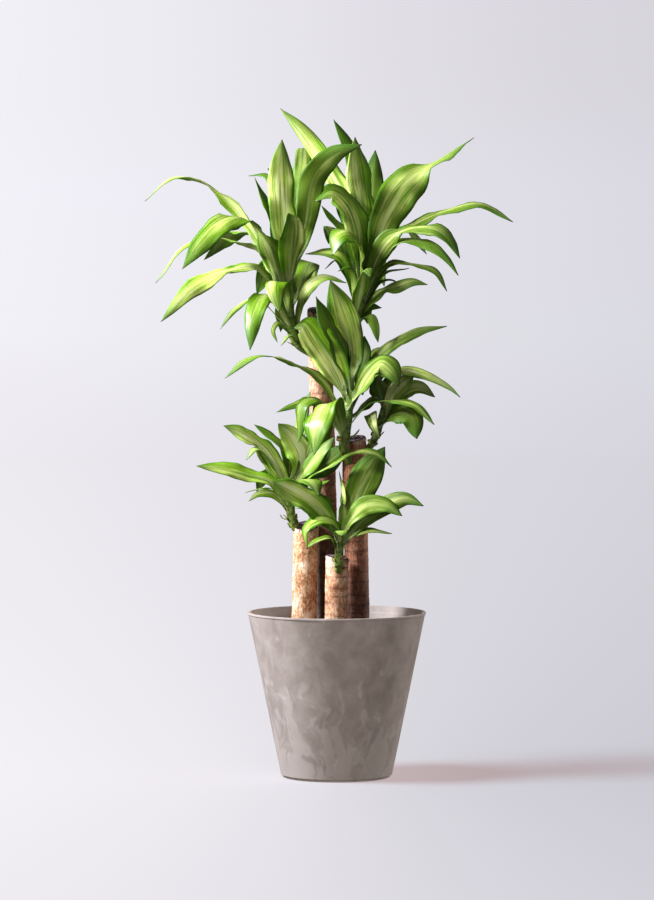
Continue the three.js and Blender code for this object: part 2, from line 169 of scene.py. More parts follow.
lip = POT_HEIGHT - LIP_HEIGHT
ledge = POT_HEIGHT - LEDGE_DEPTH
pot_profile = [
    (0, 0),
    (BASE_RADIUS - FOOT_INSET, 0),
    (BASE_RADIUS - FOOT_INSET, FOOT_HEIGHT),
    (wall_radius(FOOT_HEIGHT), FOOT_HEIGHT),
    (wall_radius(lip), lip),
    (RIM_RADIUS, lip + LIP_SLOPE),
    (RIM_RADIUS, POT_HEIGHT),
    (RIM_RADIUS - POT_WALL, POT_HEIGHT),
    (wall_radius(ledge) - POT_WALL + LEDGE_STEP, ledge + LEDGE_STEP),
    (wall_radius(ledge) - POT_WALL, ledge),
    (wall_radius(POT_FLOOR) - POT_WALL, POT_FLOOR),
    (0, POT_FLOOR),
]
# How round each corner is, from the floor inside back to the foot: a rounding renumbers only
# the corners after it.
pot_roundings = {10: 6 * MM, 9: 0.8 * MM, 8: 0.8 * MM, 7: 1.0 * MM, 6: 1.2 * MM, 5: 0.3 * MM,
                 4: 0.3 * MM, 3: 1.6 * MM, 2: 0.8 * MM, 1: 0.8 * MM}
for corner, radius in pot_roundings.items():
    pot_profile = fillet(pot_profile, corner, radius)
pot_mesh = spun(pot_profile, POT_STEPS)

# Resin and stone powder, cast and left unpolished: matt and cloudy, with paler tongues drawn
# up from the foot where the mix ran against the mould, thin light seams on them, and fine
# grit all over, drawn coarser than it is so that it shows.
CLOUD_SIZE = 34 * MM
SWIRL_SIZE = 60 * MM
SWIRL_PUSH = 55 * MM
TONGUE_WIDTH = 27 * MM
TONGUES_END = 215 * MM
TONGUES_FULL = 50 * MM
SEAM_LEVEL = 0.520
SEAM_WIDTH = 0.008
GRIT_SIZE = 1.2 * MM
cast_stone, cast_stone_surface = new_material("cast_stone_powder")
position = node(cast_stone, "TexCoord").outputs["Object"]
height = node(cast_stone, "SeparateXYZ", {"Vector": position}).outputs["Z"]
swirl = node(cast_stone, "TexNoise", {"Vector": position, "Scale": 1 / SWIRL_SIZE, "Detail": 2.0})
swirl_middle = node(cast_stone, "VectorMath", [swirl.outputs["Color"], (0.5, 0.5, 0.5)],
                    operation="SUBTRACT")
swirl_push = node(cast_stone, "VectorMath", {0: swirl_middle, 3: SWIRL_PUSH}, operation="SCALE")
swirled = node(cast_stone, "VectorMath", [position, swirl_push], operation="ADD")
tongue_room = node(cast_stone, "Mapping", {"Vector": swirled, "Scale": (1.0, 1.0, 0.30)})
tongues = node(cast_stone, "TexNoise",
               {"Vector": tongue_room, "Scale": 1 / TONGUE_WIDTH, "Detail": 6.0, "Roughness": 0.52})
low_down = node(cast_stone, "MapRange", [height, TONGUES_END, TONGUES_FULL, -0.16, 0.05])
tongue_level = node(cast_stone, "Math", [tongues, low_down], operation="ADD")
tongue_mask = node(cast_stone, "MapRange", [tongue_level, 0.45, 0.56, 0.0, 0.62],
                   interpolation_type="SMOOTHSTEP")
cloud_room = node(cast_stone, "Mapping", {"Vector": swirled, "Scale": (1.0, 1.0, 0.7)})
clouds = node(cast_stone, "TexNoise",
              {"Vector": cloud_room, "Scale": 1 / CLOUD_SIZE, "Detail": 7.0, "Roughness": 0.62})
base_tone = node(cast_stone, "ValToRGB", {"Fac": clouds},
                 stops=[(0.32, "#8d827c"), (0.50, "#9b908a"), (0.68, "#a89e98")])
tongued = node(cast_stone, "Mix", {0: tongue_mask, 6: base_tone, 7: colour("#b4aba6")},
               data_type="RGBA")
seam_gap = node(cast_stone, "Math", [tongue_level, SEAM_LEVEL, SEAM_WIDTH],
                operation="COMPARE")
seam_share = node(cast_stone, "MapRange", [clouds, 0.45, 0.62, 0.0, 0.42])
seam_here = node(cast_stone, "Math", [seam_gap, seam_share], operation="MULTIPLY")
seamed = node(cast_stone, "Mix", {0: seam_here, 6: tongued, 7: colour("#cdc6c1")}, data_type="RGBA")
grit = node(cast_stone, "TexNoise",
            {"Vector": position, "Scale": 1 / GRIT_SIZE, "Detail": 2.0, "Roughness": 0.7})
grit_tone = node(cast_stone, "ValToRGB", {"Fac": grit}, stops=[(0.36, 0.93), (0.5, 1.0), (0.66, 1.06)])
gritty = node(cast_stone, "Mix", {0: 0.8, 6: seamed, 7: grit_tone}, data_type="RGBA",
              blend_type="MULTIPLY")
pot_roughness = node(cast_stone, "MapRange", [clouds, 0.3, 0.7, 0.68, 0.84])
pot_relief = node(cast_stone, "Math", [grit, tongue_level], operation="ADD")
pot_bump = node(cast_stone, "Bump", {"Height": pot_relief, "Strength": 0.35, "Distance": 0.4 * MM})
fill(cast_stone, cast_stone_surface, {"Base Color": gritty, "Roughness": pot_roughness,
                                      "Normal": pot_bump})

pot = new_piece("pot_body", pot_mesh, cast_stone)
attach(pot, "root")
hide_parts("pot")


# Soil
# Potting mix of composted bark, coir and a little perlite, filled to 5 cm below the rim and
# pressed up a little round the canes. Loose crumbs and chips of bark lie on top.

soil_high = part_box("soil")[1]
SOIL_CROWN = 6 * MM
SOIL_TOP = soil_high.z - SOIL_CROWN
SOIL_RADIUS = soil_high.x
SOIL_DOME = 0.6
SOIL_CLEARANCE = 0.5 * MM
SOIL_FOOT_ROOM = 7 * MM
SOIL_EDGE = 0.1 * MM
SOIL_RINGS = 44
SOIL_STEPS = 140
LUMP_HEIGHT = 2.2 * MM
LUMPS_PER_METRE = 60
LUMP_DETAIL = (1.0, 2.0, 4)  # how the finer lumps fade, how much finer each is, how many


def soil_height(x, y):
    """The height of the soil at a place, with its lumps."""
    share = min(math.hypot(x, y) / SOIL_RADIUS, 1.0)
    lumps = noise.fractal(Vector((x, y, 0)) * LUMPS_PER_METRE, *LUMP_DETAIL) * LUMP_HEIGHT
    return SOIL_TOP + SOIL_CROWN * SOIL_DOME * (1 - share ** 2) + lumps


soil_foot = POT_FLOOR + SOIL_CLEARANCE
soil_profile = [(0, soil_foot), (wall_radius(POT_FLOOR) - POT_WALL - SOIL_FOOT_ROOM, soil_foot)]
soil_profile += [(SOIL_RADIUS * (1 - step / SOIL_RINGS), SOIL_TOP) for step in range(SOIL_RINGS + 1)]
soil_mesh = spun(soil_profile, SOIL_STEPS)
for vert in soil_mesh.verts:
    if vert.co.z > SOIL_TOP - MM and vert.co.xy.length < SOIL_RADIUS - SOIL_EDGE:
        vert.co.z = soil_height(vert.co.x, vert.co.y)

# Composted bark and coir: nearly black brown, rough, never glossy, with paler fibres.
CRUMB_GRAIN = 3.5 * MM
FIBRE_SIZE = 5 * MM
potting_mix, potting_mix_surface = new_material("potting_mix")
position = node(potting_mix, "TexCoord").outputs["Object"]
crumbs = node(potting_mix, "TexVoronoi", {"Vector": position, "Scale": 1 / CRUMB_GRAIN})
fibres = node(potting_mix, "TexNoise",
              {"Vector": position, "Scale": 1 / FIBRE_SIZE, "Detail": 5.0, "Roughness": 0.7})
soil_tone = node(potting_mix, "ValToRGB", {"Fac": fibres},
                 stops=[(0.30, "#1c140f"), (0.52, "#3a2a1e"), (0.70, "#6a4f39")])
soil_bump = node(potting_mix, "Bump", {"Height": crumbs, "Strength": 0.8, "Distance": 1.5 * MM})
fill(potting_mix, potting_mix_surface, {"Base Color": soil_tone, "Roughness": 0.95,
                                        "Normal": soil_bump})

# Perlite: volcanic glass puffed by heat, chalk white and dull.
PUFF_SIZE = 1 * MM
perlite, perlite_surface = new_material("perlite")
position = node(perlite, "TexCoord").outputs["Object"]
puffs = node(perlite, "TexNoise", {"Vector": position, "Scale": 1 / PUFF_SIZE, "Detail": 3.0})
perlite_bump = node(perlite, "Bump", {"Height": puffs, "Strength": 0.5, "Distance": 0.4 * MM})
fill(perlite, perlite_surface, {"Base Color": colour("#d8d4cb"), "Roughness": 0.9,
                                "Normal": perlite_bump})

soil = new_piece("soil_filling", soil_mesh, potting_mix)
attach(soil, "root")
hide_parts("soil")

CRUMB_SEED = 7
CRUMB_COUNT = 900
CRUMB_SIZES = (1.2 * MM, 4.0 * MM)
CRUMB_WIDTHS = (0.5, 0.9)  # parts of its size
CRUMB_HEIGHTS = (0.3, 0.7)
CRUMB_RISE = 0.3
CRUMB_TILT = 0.5  # radians
CRUMB_DENT = 0.25
DENTS_PER_METRE = 400
CRUMB_MARGIN = 6 * MM
PERLITE_SHARE = 0.05
crumb_draw = random.Random(CRUMB_SEED)
crumb_mesh = bmesh.new()
for number in range(CRUMB_COUNT):
    reach = (SOIL_RADIUS - CRUMB_MARGIN) * math.sqrt(crumb_draw.random())
    turn = crumb_draw.uniform(0, 2 * math.pi)
    x, y = reach * math.cos(turn), reach * math.sin(turn)
    size = crumb_draw.uniform(*CRUMB_SIZES)
    flat = (size, size * crumb_draw.uniform(*CRUMB_WIDTHS), size * crumb_draw.uniform(*CRUMB_HEIGHTS))
    place = Matrix.Translation((x, y, soil_height(x, y) + CRUMB_RISE * size))
    spin = Matrix.Rotation(crumb_draw.uniform(0, math.pi), 4, "Z")
    tilt = Matrix.Rotation(crumb_draw.uniform(-CRUMB_TILT, CRUMB_TILT), 4, "X")
    made = bmesh.ops.create_icosphere(crumb_mesh, subdivisions=1, radius=1.0,
                                      matrix=place @ spin @ tilt @ Matrix.Diagonal((*flat, 1.0)))
    white = crumb_draw.random() < PERLITE_SHARE
    for vert in made["verts"]:
        vert.co += noise.noise_vector(vert.co * DENTS_PER_METRE) * CRUMB_DENT * size
        for face in vert.link_faces:
            face.material_index = int(white)
crumbs_on_top = new_piece("soil_crumbs", crumb_mesh, potting_mix, perlite)
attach(crumbs_on_top, "root")


# Canes
# Sawn lengths of dracaena trunk, rooted in the soil. The bark is thin, dry and corky: fine
# flecks and cracks run up it, old leaf scars ring it, and the slanting cuts are sealed.

# Each cane has its own bark: the colours from crack to fleck, how plainly its leaf scars and
# its cracks show, how much painted shade darkens it at the foot, where the other canes shade it,
# and between what heights that fades out, and the slope of its cut top.
CANES = {
    "cane_left": {
        "path": [(-61, 2, 0), (-60, 1, 300), (-56, 0, 465)], "radius": 23,
        "bark": ["#6c3a21", "#bd865a", "#e7c3a0", "#faeddd"],
        "scars": 0.10, "cracks": 0.40, "foot": (0.78, 0.32, 0.46), "slope": (0.10, 0.34),
    },
    "cane_front": {
        "path": [(-1, -40, 0), (-1, -41, 300), (1, -42, 410)], "radius": 21,
        "bark": ["#7a4328", "#bd8661", "#e0b594", "#fae9d8"],
        "scars": 0.55, "cracks": 0.35, "foot": (0.85, 0.32, 0.40), "slope": (-0.12, 0.10),
    },
    "cane_right": {
        "path": [(40, 8, 0), (38, 5, 300), (32, 2, 626)], "radius": 22.5,
        # Its bark is darker than the others': partly its own redder bark, partly painted shade, as it
        # stands in the other canes' shade.
        "bark": ["#5a2917", "#9c5c3f", "#bd8162", "#ddb497"],
        "scars": 0.62, "cracks": 0.70, "foot": (0.36, 0.33, 0.46), "slope": (0.10, 0.22),
    },
    "cane_tall": {
        "path": [(-14, 48, 0), (-18, 47, 300), (-32, 40, 862)], "radius": 22.5,
        "bark": ["#7a4630", "#b67e60", "#d9a98a", "#f2d6c0"],
        "scars": 0.40, "cracks": 0.60, "foot": (0.14, 0.38, 0.60), "slope": (-0.10, 0.25),
    },
}
CANE_SEED = 20
CANE_FOOT = 29 * MM
CANE_SAMPLES = 400
SAMPLES_PER_KNOT = 12
CANE_SEGMENTS = 72
CANE_STEP = 3 * MM
SWELL_SPACING = 58 * MM
SWELL_SHARE = 0.008
SCAR_SPACING = 19 * MM
SCAR_WIDTH = 1.2 * MM
SCAR_RIDGE = 1.0 * MM
SCAR_LEAN = 1.6 * MM
RIDGE_ABOVE = 1.2  # in widths of the scar
GROOVE_BELOW = 0.6
GROOVE_SHARE = 0.8
BARK_LUMPS = 0.7 * MM
LUMPS_ROUND = 70  # per metre
LUMPS_UP = 45
CUT_REACH = 26 * MM
CUT_LUMPS = 1.2 * MM
CUT_LUMPS_PER_METRE = 180
TOP_EDGE = 1.2 * MM
TOP_RINGS = 8
CURVE_STEPS = 24
BARK_ROOM = 50  # metres of noise that the canes are placed in
FIRST_SCAR = (0.3, 0.9)  # parts of the spacing
NEXT_SCAR = (0.7, 1.3)
LAST_SCAR = 0.2
SCAR_TILTS = (0.5, 1.6)


def path_through(points, count):
    """Evenly spaced places on a smooth curve through points in millimetres, foot to tip."""
    knots = [Vector(point) * MM for point in points]
    knots = [2 * knots[0] - knots[1], *knots, 2 * knots[-1] - knots[-2]]
    dense = []
    for a, b, c, d in zip(knots, knots[1:], knots[2:], knots[3:]):
        ab, bc, cd = (math.sqrt((q - p).length) for p, q in ((a, b), (b, c), (c, d)))
        leave = ((b - a) / ab - (c - a) / (ab + bc) + (c - b) / bc) * bc
        arrive = ((c - b) / bc - (d - b) / (bc + cd) + (d - c) / cd) * bc
        for step in range(CURVE_STEPS):
            t = step / CURVE_STEPS
            dense.append(b + leave * t + (3 * (c - b) - 2 * leave - arrive) * t ** 2
                         + (2 * (b - c) + leave + arrive) * t ** 3)
    dense.append(knots[-2])
    reach = [0.0]
    for one, other in zip(dense, dense[1:]):
        reach.append(reach[-1] + (other - one).length)
    places = []
    span = 0
    for number in range(count):
        goal = reach[-1] * number / (count - 1)
        while span < len(dense) - 2 and reach[span + 1] < goal:
            span += 1
        share = (goal - reach[span]) / (reach[span + 1] - reach[span])
        places.append(dense[span].lerp(dense[span + 1], share))
    return places


def directions(places):
    """The way the curve runs at each of its places."""
    ends = [places[0], *places, places[-1]]
    return [(after - before).normalized() for before, after in zip(ends, ends[2:])]


def eased(share):
    share = min(max(share, 0.0), 1.0)
    return share * share * (3 - 2 * share)


def round_bar(places, segments, shape):
    """A capped round bar along the places, and its end face. shape(height, angle) gives the
    radius there and the depth of the leaf scar, from 0 to 1."""
    mesh = bmesh.new()
    scar = mesh.verts.layers.float.new("scar")
    bmesh.ops.create_cone(mesh, cap_ends=True, segments=segments, radius1=1, radius2=1, depth=2)
    uprights = [edge for edge in mesh.edges if abs(edge.verts[0].co.z - edge.verts[1].co.z) > 1]
    bmesh.ops.subdivide_edges(mesh, edges=uprights, cuts=len(places) - 2, use_grid_fill=True)
    top = [face for face in mesh.faces if face.normal.z > 0.9]
    ways = directions(places)
    length = sum((b - a).length for a, b in zip(places, places[1:]))
    for vert in mesh.verts:
        share = (vert.co.z + 1) / 2
        ring = round(share * (len(places) - 1))
        side = Vector((0, 1, 0)).cross(ways[ring]).normalized()
        front = ways[ring].cross(side)
        angle = math.atan2(vert.co.y, vert.co.x)
        radius, depth = shape(share * length, angle)
        vert[scar] = depth
        vert.co = places[ring] + side * radius * math.cos(angle) + front * radius * math.sin(angle)
    return mesh, top


def ringed(draw, length, spacing):
    """Heights, tilts and turns of the leaf scars up a stem."""
    rings = []
    height = spacing * draw.uniform(*FIRST_SCAR)
    while height < length - LAST_SCAR * spacing:
        rings.append((height, draw.uniform(*SCAR_TILTS), draw.uniform(0, 2 * math.pi)))
        height += spacing * draw.uniform(*NEXT_SCAR)
    return rings


def scar_at(rings, height, angle, width, tilt):
    """How far from the nearest leaf scar's line, in widths, and above or below it."""
    lines = [height - level - tilt * lean * math.sin(angle + turn) for level, lean, turn in rings]
    nearest = min(lines, key=abs)
    return nearest / width


def cane_shape(radius, length, strength, draw):
    rings = ringed(draw, length, SCAR_SPACING)
    scars = round(length / SWELL_SPACING)
    offset = draw.uniform(0, BARK_ROOM)

    def shape(height, angle):
        swell = 1 + SWELL_SHARE * math.cos(2 * math.pi * scars * height / length)
        line = scar_at(rings, height, angle, SCAR_WIDTH, SCAR_LEAN)
        groove = GROOVE_SHARE * math.exp(-(line + GROOVE_BELOW) ** 2)
        ridge = strength * (math.exp(-(line - RIDGE_ABOVE) ** 2) - groove)
        around = Vector((math.cos(angle), math.sin(angle), 0)) * radius
        spot = around + Vector((offset, 0, height))
        spot = Vector((spot.x * LUMPS_ROUND, spot.y * LUMPS_ROUND, spot.z * LUMPS_UP))
        lumps = noise.fractal(spot, *LUMP_DETAIL)
        edge = max(0.0, 1 - (length - height) / (2 * TOP_EDGE)) ** 2 * TOP_EDGE
        return radius * swell + ridge * SCAR_RIDGE + lumps * BARK_LUMPS - edge, math.exp(-line ** 2)

    return shape


# Dry corky bark, grown and weathered: matt and flecked, split by dark hair cracks along the
# grain, with a dark line in each leaf scar. At the cut its torn edge is pale, where it
# isn't smeared with wax.
FLECK_SIZE = 5 * MM
FLECK_STRETCH = (1.0, 1.0, 0.62)
BARK_PATCH_SIZE = 26 * MM
CRACK_SPACING = 3.4 * MM
CRACK_STRETCH = (1.0, 1.0, 0.10)
BARK_STOPS = (0.36, 0.47, 0.55, 0.66)
TORN_DEPTHS = (0.5 * MM, 8 * MM)
WAX_RUNS = (-2 * MM, 6.5 * MM)
bark_materials = {}
for name, cane in CANES.items():
    bark, bark_surface = new_material("corky_bark_" + name.removeprefix("cane_"))
    position = node(bark, "TexCoord").outputs["Object"]
    height = node(bark, "SeparateXYZ", {"Vector": position}).outputs["Z"]
    fleck_room = node(bark, "Mapping", {"Vector": position, "Scale": FLECK_STRETCH})
    flecks = node(bark, "TexNoise",
                  {"Vector": fleck_room, "Scale": 1 / FLECK_SIZE, "Detail": 6.0, "Roughness": 0.74,
                   "Distortion": 0.9})
    patches = node(bark, "TexNoise",
                   {"Vector": position, "Scale": 1 / BARK_PATCH_SIZE, "Detail": 3.0, "Roughness": 0.5})
    bark_mix = node(bark, "Mix", {0: 0.35, 2: flecks, 3: patches}, data_type="FLOAT")
    bark_tone = node(bark, "ValToRGB", {"Fac": bark_mix}, stops=zip(BARK_STOPS, cane["bark"]))
    crack_room = node(bark, "Mapping", {"Vector": position, "Scale": CRACK_STRETCH})
    cracks = node(bark, "TexNoise",
                  {"Vector": crack_room, "Scale": 1 / CRACK_SPACING, "Detail": 4.0, "Roughness": 0.6,
                   "Distortion": 0.4})
    crack_mask = node(bark, "MapRange", [cracks, 0.45, 0.36, 0.0, cane["cracks"]])
    cracked = node(bark, "Mix", {0: crack_mask, 6: bark_tone, 7: colour("#331a0d")}, data_type="RGBA")
    scar_line = node(bark, "Attribute", attribute_name="scar")
    scar_share = node(bark, "Math", [scar_line.outputs["Fac"], cane["scars"]], operation="MULTIPLY")
    scarred = node(bark, "Mix", {0: scar_share, 6: cracked, 7: colour("#3b1f10")}, data_type="RGBA")
    # Painted shade: the bark is made darker towards the foot, standing in for the shade that the other
    # canes cast there, and fades out between the two heights given.
    foot_shade, shade_low, shade_high = cane["foot"]
    shade = node(bark, "MapRange", [height, shade_low, shade_high, foot_shade],
                 interpolation_type="SMOOTHSTEP")
    shaded = node(bark, "VectorMath", {0: scarred, 3: shade}, operation="SCALE")
    below_cut = node(bark, "Attribute", attribute_name="below_cut").outputs["Fac"]
    ragged = node(bark, "Math", [patches, flecks], operation="ADD")
    torn_reach = node(bark, "MapRange", [ragged, 0.8, 1.2, *TORN_DEPTHS])
    torn = node(bark, "Math", [below_cut, torn_reach], operation="LESS_THAN")
    torn_share = node(bark, "Math", [torn, 0.5], operation="MULTIPLY")
    edged = node(bark, "Mix", {0: torn_share, 6: shaded, 7: colour("#dcc8b5")}, data_type="RGBA")
    wax_reach = node(bark, "MapRange", [ragged, 1.2, 0.8, *WAX_RUNS])
    waxed = node(bark, "Math", [below_cut, wax_reach], operation="LESS_THAN")
    smeared = node(bark, "Mix", {0: waxed, 6: edged, 7: colour("#35282f")}, data_type="RGBA")
    bark_relief = node(bark, "Math", [cracks, flecks], operation="ADD")
    bark_bump = node(bark, "Bump", {"Height": bark_relief, "Strength": 0.8, "Distance": 1.2 * MM})
    fill(bark, bark_surface, {"Base Color": smeared, "Roughness": 0.80, "Normal": bark_bump})
    bark_materials[name] = bark

# Pruning wax, brushed on the saw cut: dark purple brown, thick and slightly glossy.
BRUSH_MARK_SIZE = 7 * MM
wax, wax_surface = new_material("pruning_wax")
position = node(wax, "TexCoord").outputs["Object"]
brushed = node(wax, "TexNoise",
               {"Vector": position, "Scale": 1 / BRUSH_MARK_SIZE, "Detail": 5.0, "Roughness": 0.6})
wax_tone = node(wax, "ValToRGB", {"Fac": brushed},
                stops=[(0.35, "#2a2028"), (0.52, "#4c3742"), (0.66, "#876a72"), (0.78, "#c9b4b4")])
wax_bump = node(wax, "Bump", {"Height": brushed, "Strength": 0.8, "Distance": 1.5 * MM})
fill(wax, wax_surface, {"Base Color": wax_tone, "Roughness": 0.55, "Normal": wax_bump})

for number, (name, cane) in enumerate(CANES.items()):
    places = path_through(cane["path"], CANE_SAMPLES)
    places = [place for place in places if place.z >= CANE_FOOT]
    length = sum((b - a).length for a, b in zip(places, places[1:]))
    knots = [place / MM for place in places[::SAMPLES_PER_KNOT]]
    places = path_through(knots + [cane["path"][-1]], round(length / CANE_STEP))
    draw = random.Random(CANE_SEED + number)
    shape = cane_shape(cane["radius"] * MM, length, cane["scars"], draw)
    cane_mesh, top = round_bar(places, CANE_SEGMENTS, shape)
    below_cut = cane_mesh.verts.layers.float.new("below_cut")
    for vert in cane_mesh.verts:
        vert[below_cut] = places[-1].z - vert.co.z
        offset = (vert.co - places[-1]).to_2d()
        near = eased(1 - vert[below_cut] / CUT_REACH)
        vert.co.z += near * offset.dot(Vector(cane["slope"]))
    bmesh.ops.delete(cane_mesh, geom=top, context="FACES_ONLY")
    rim = [edge for edge in cane_mesh.edges if edge.is_boundary]
    for ring in range(TOP_RINGS):
        grown = bmesh.ops.extrude_edge_only(cane_mesh, edges=rim)["geom"]
        rim = [item for item in grown if isinstance(item, bmesh.types.BMEdge) and item.is_boundary]
        for face in (item for item in grown if isinstance(item, bmesh.types.BMFace)):
            face.material_index = 1
        rim_verts = {vert for edge in rim for vert in edge.verts}
        for vert in rim_verts:
            vert.co = places[-1].lerp(vert.co, 1 - 1 / (TOP_RINGS + 1 - ring))
            vert.co.z += noise.noise(vert.co * CUT_LUMPS_PER_METRE) * CUT_LUMPS
    bmesh.ops.contextual_create(cane_mesh, geom=rim, mat_nr=1)
    bmesh.ops.recalc_face_normals(cane_mesh, faces=cane_mesh.faces)
    piece = new_piece(name + "_trunk", cane_mesh, bark_materials[name], wax)
    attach(piece, "root")
    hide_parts(name)


# Shoots
# Green stems broken out of the bark below each cut, ringed by the scars of dropped leaves.
# Strap leaves clasp each stem one above the other, channelled at the root, waved at the
# margins and arching over under their own weight.

# How much of a leaf its pale middle stripe takes, from hardly any to most of it. The same
# number deepens the green of the leaves with least stripe: partly their own darker tone, partly
# painted shade for leaves that sit in the other leaves' shade.
DARK, GREEN, PLAIN, STRIPED, PALE = 0.08, 0.20, 0.32, 0.62, 0.92
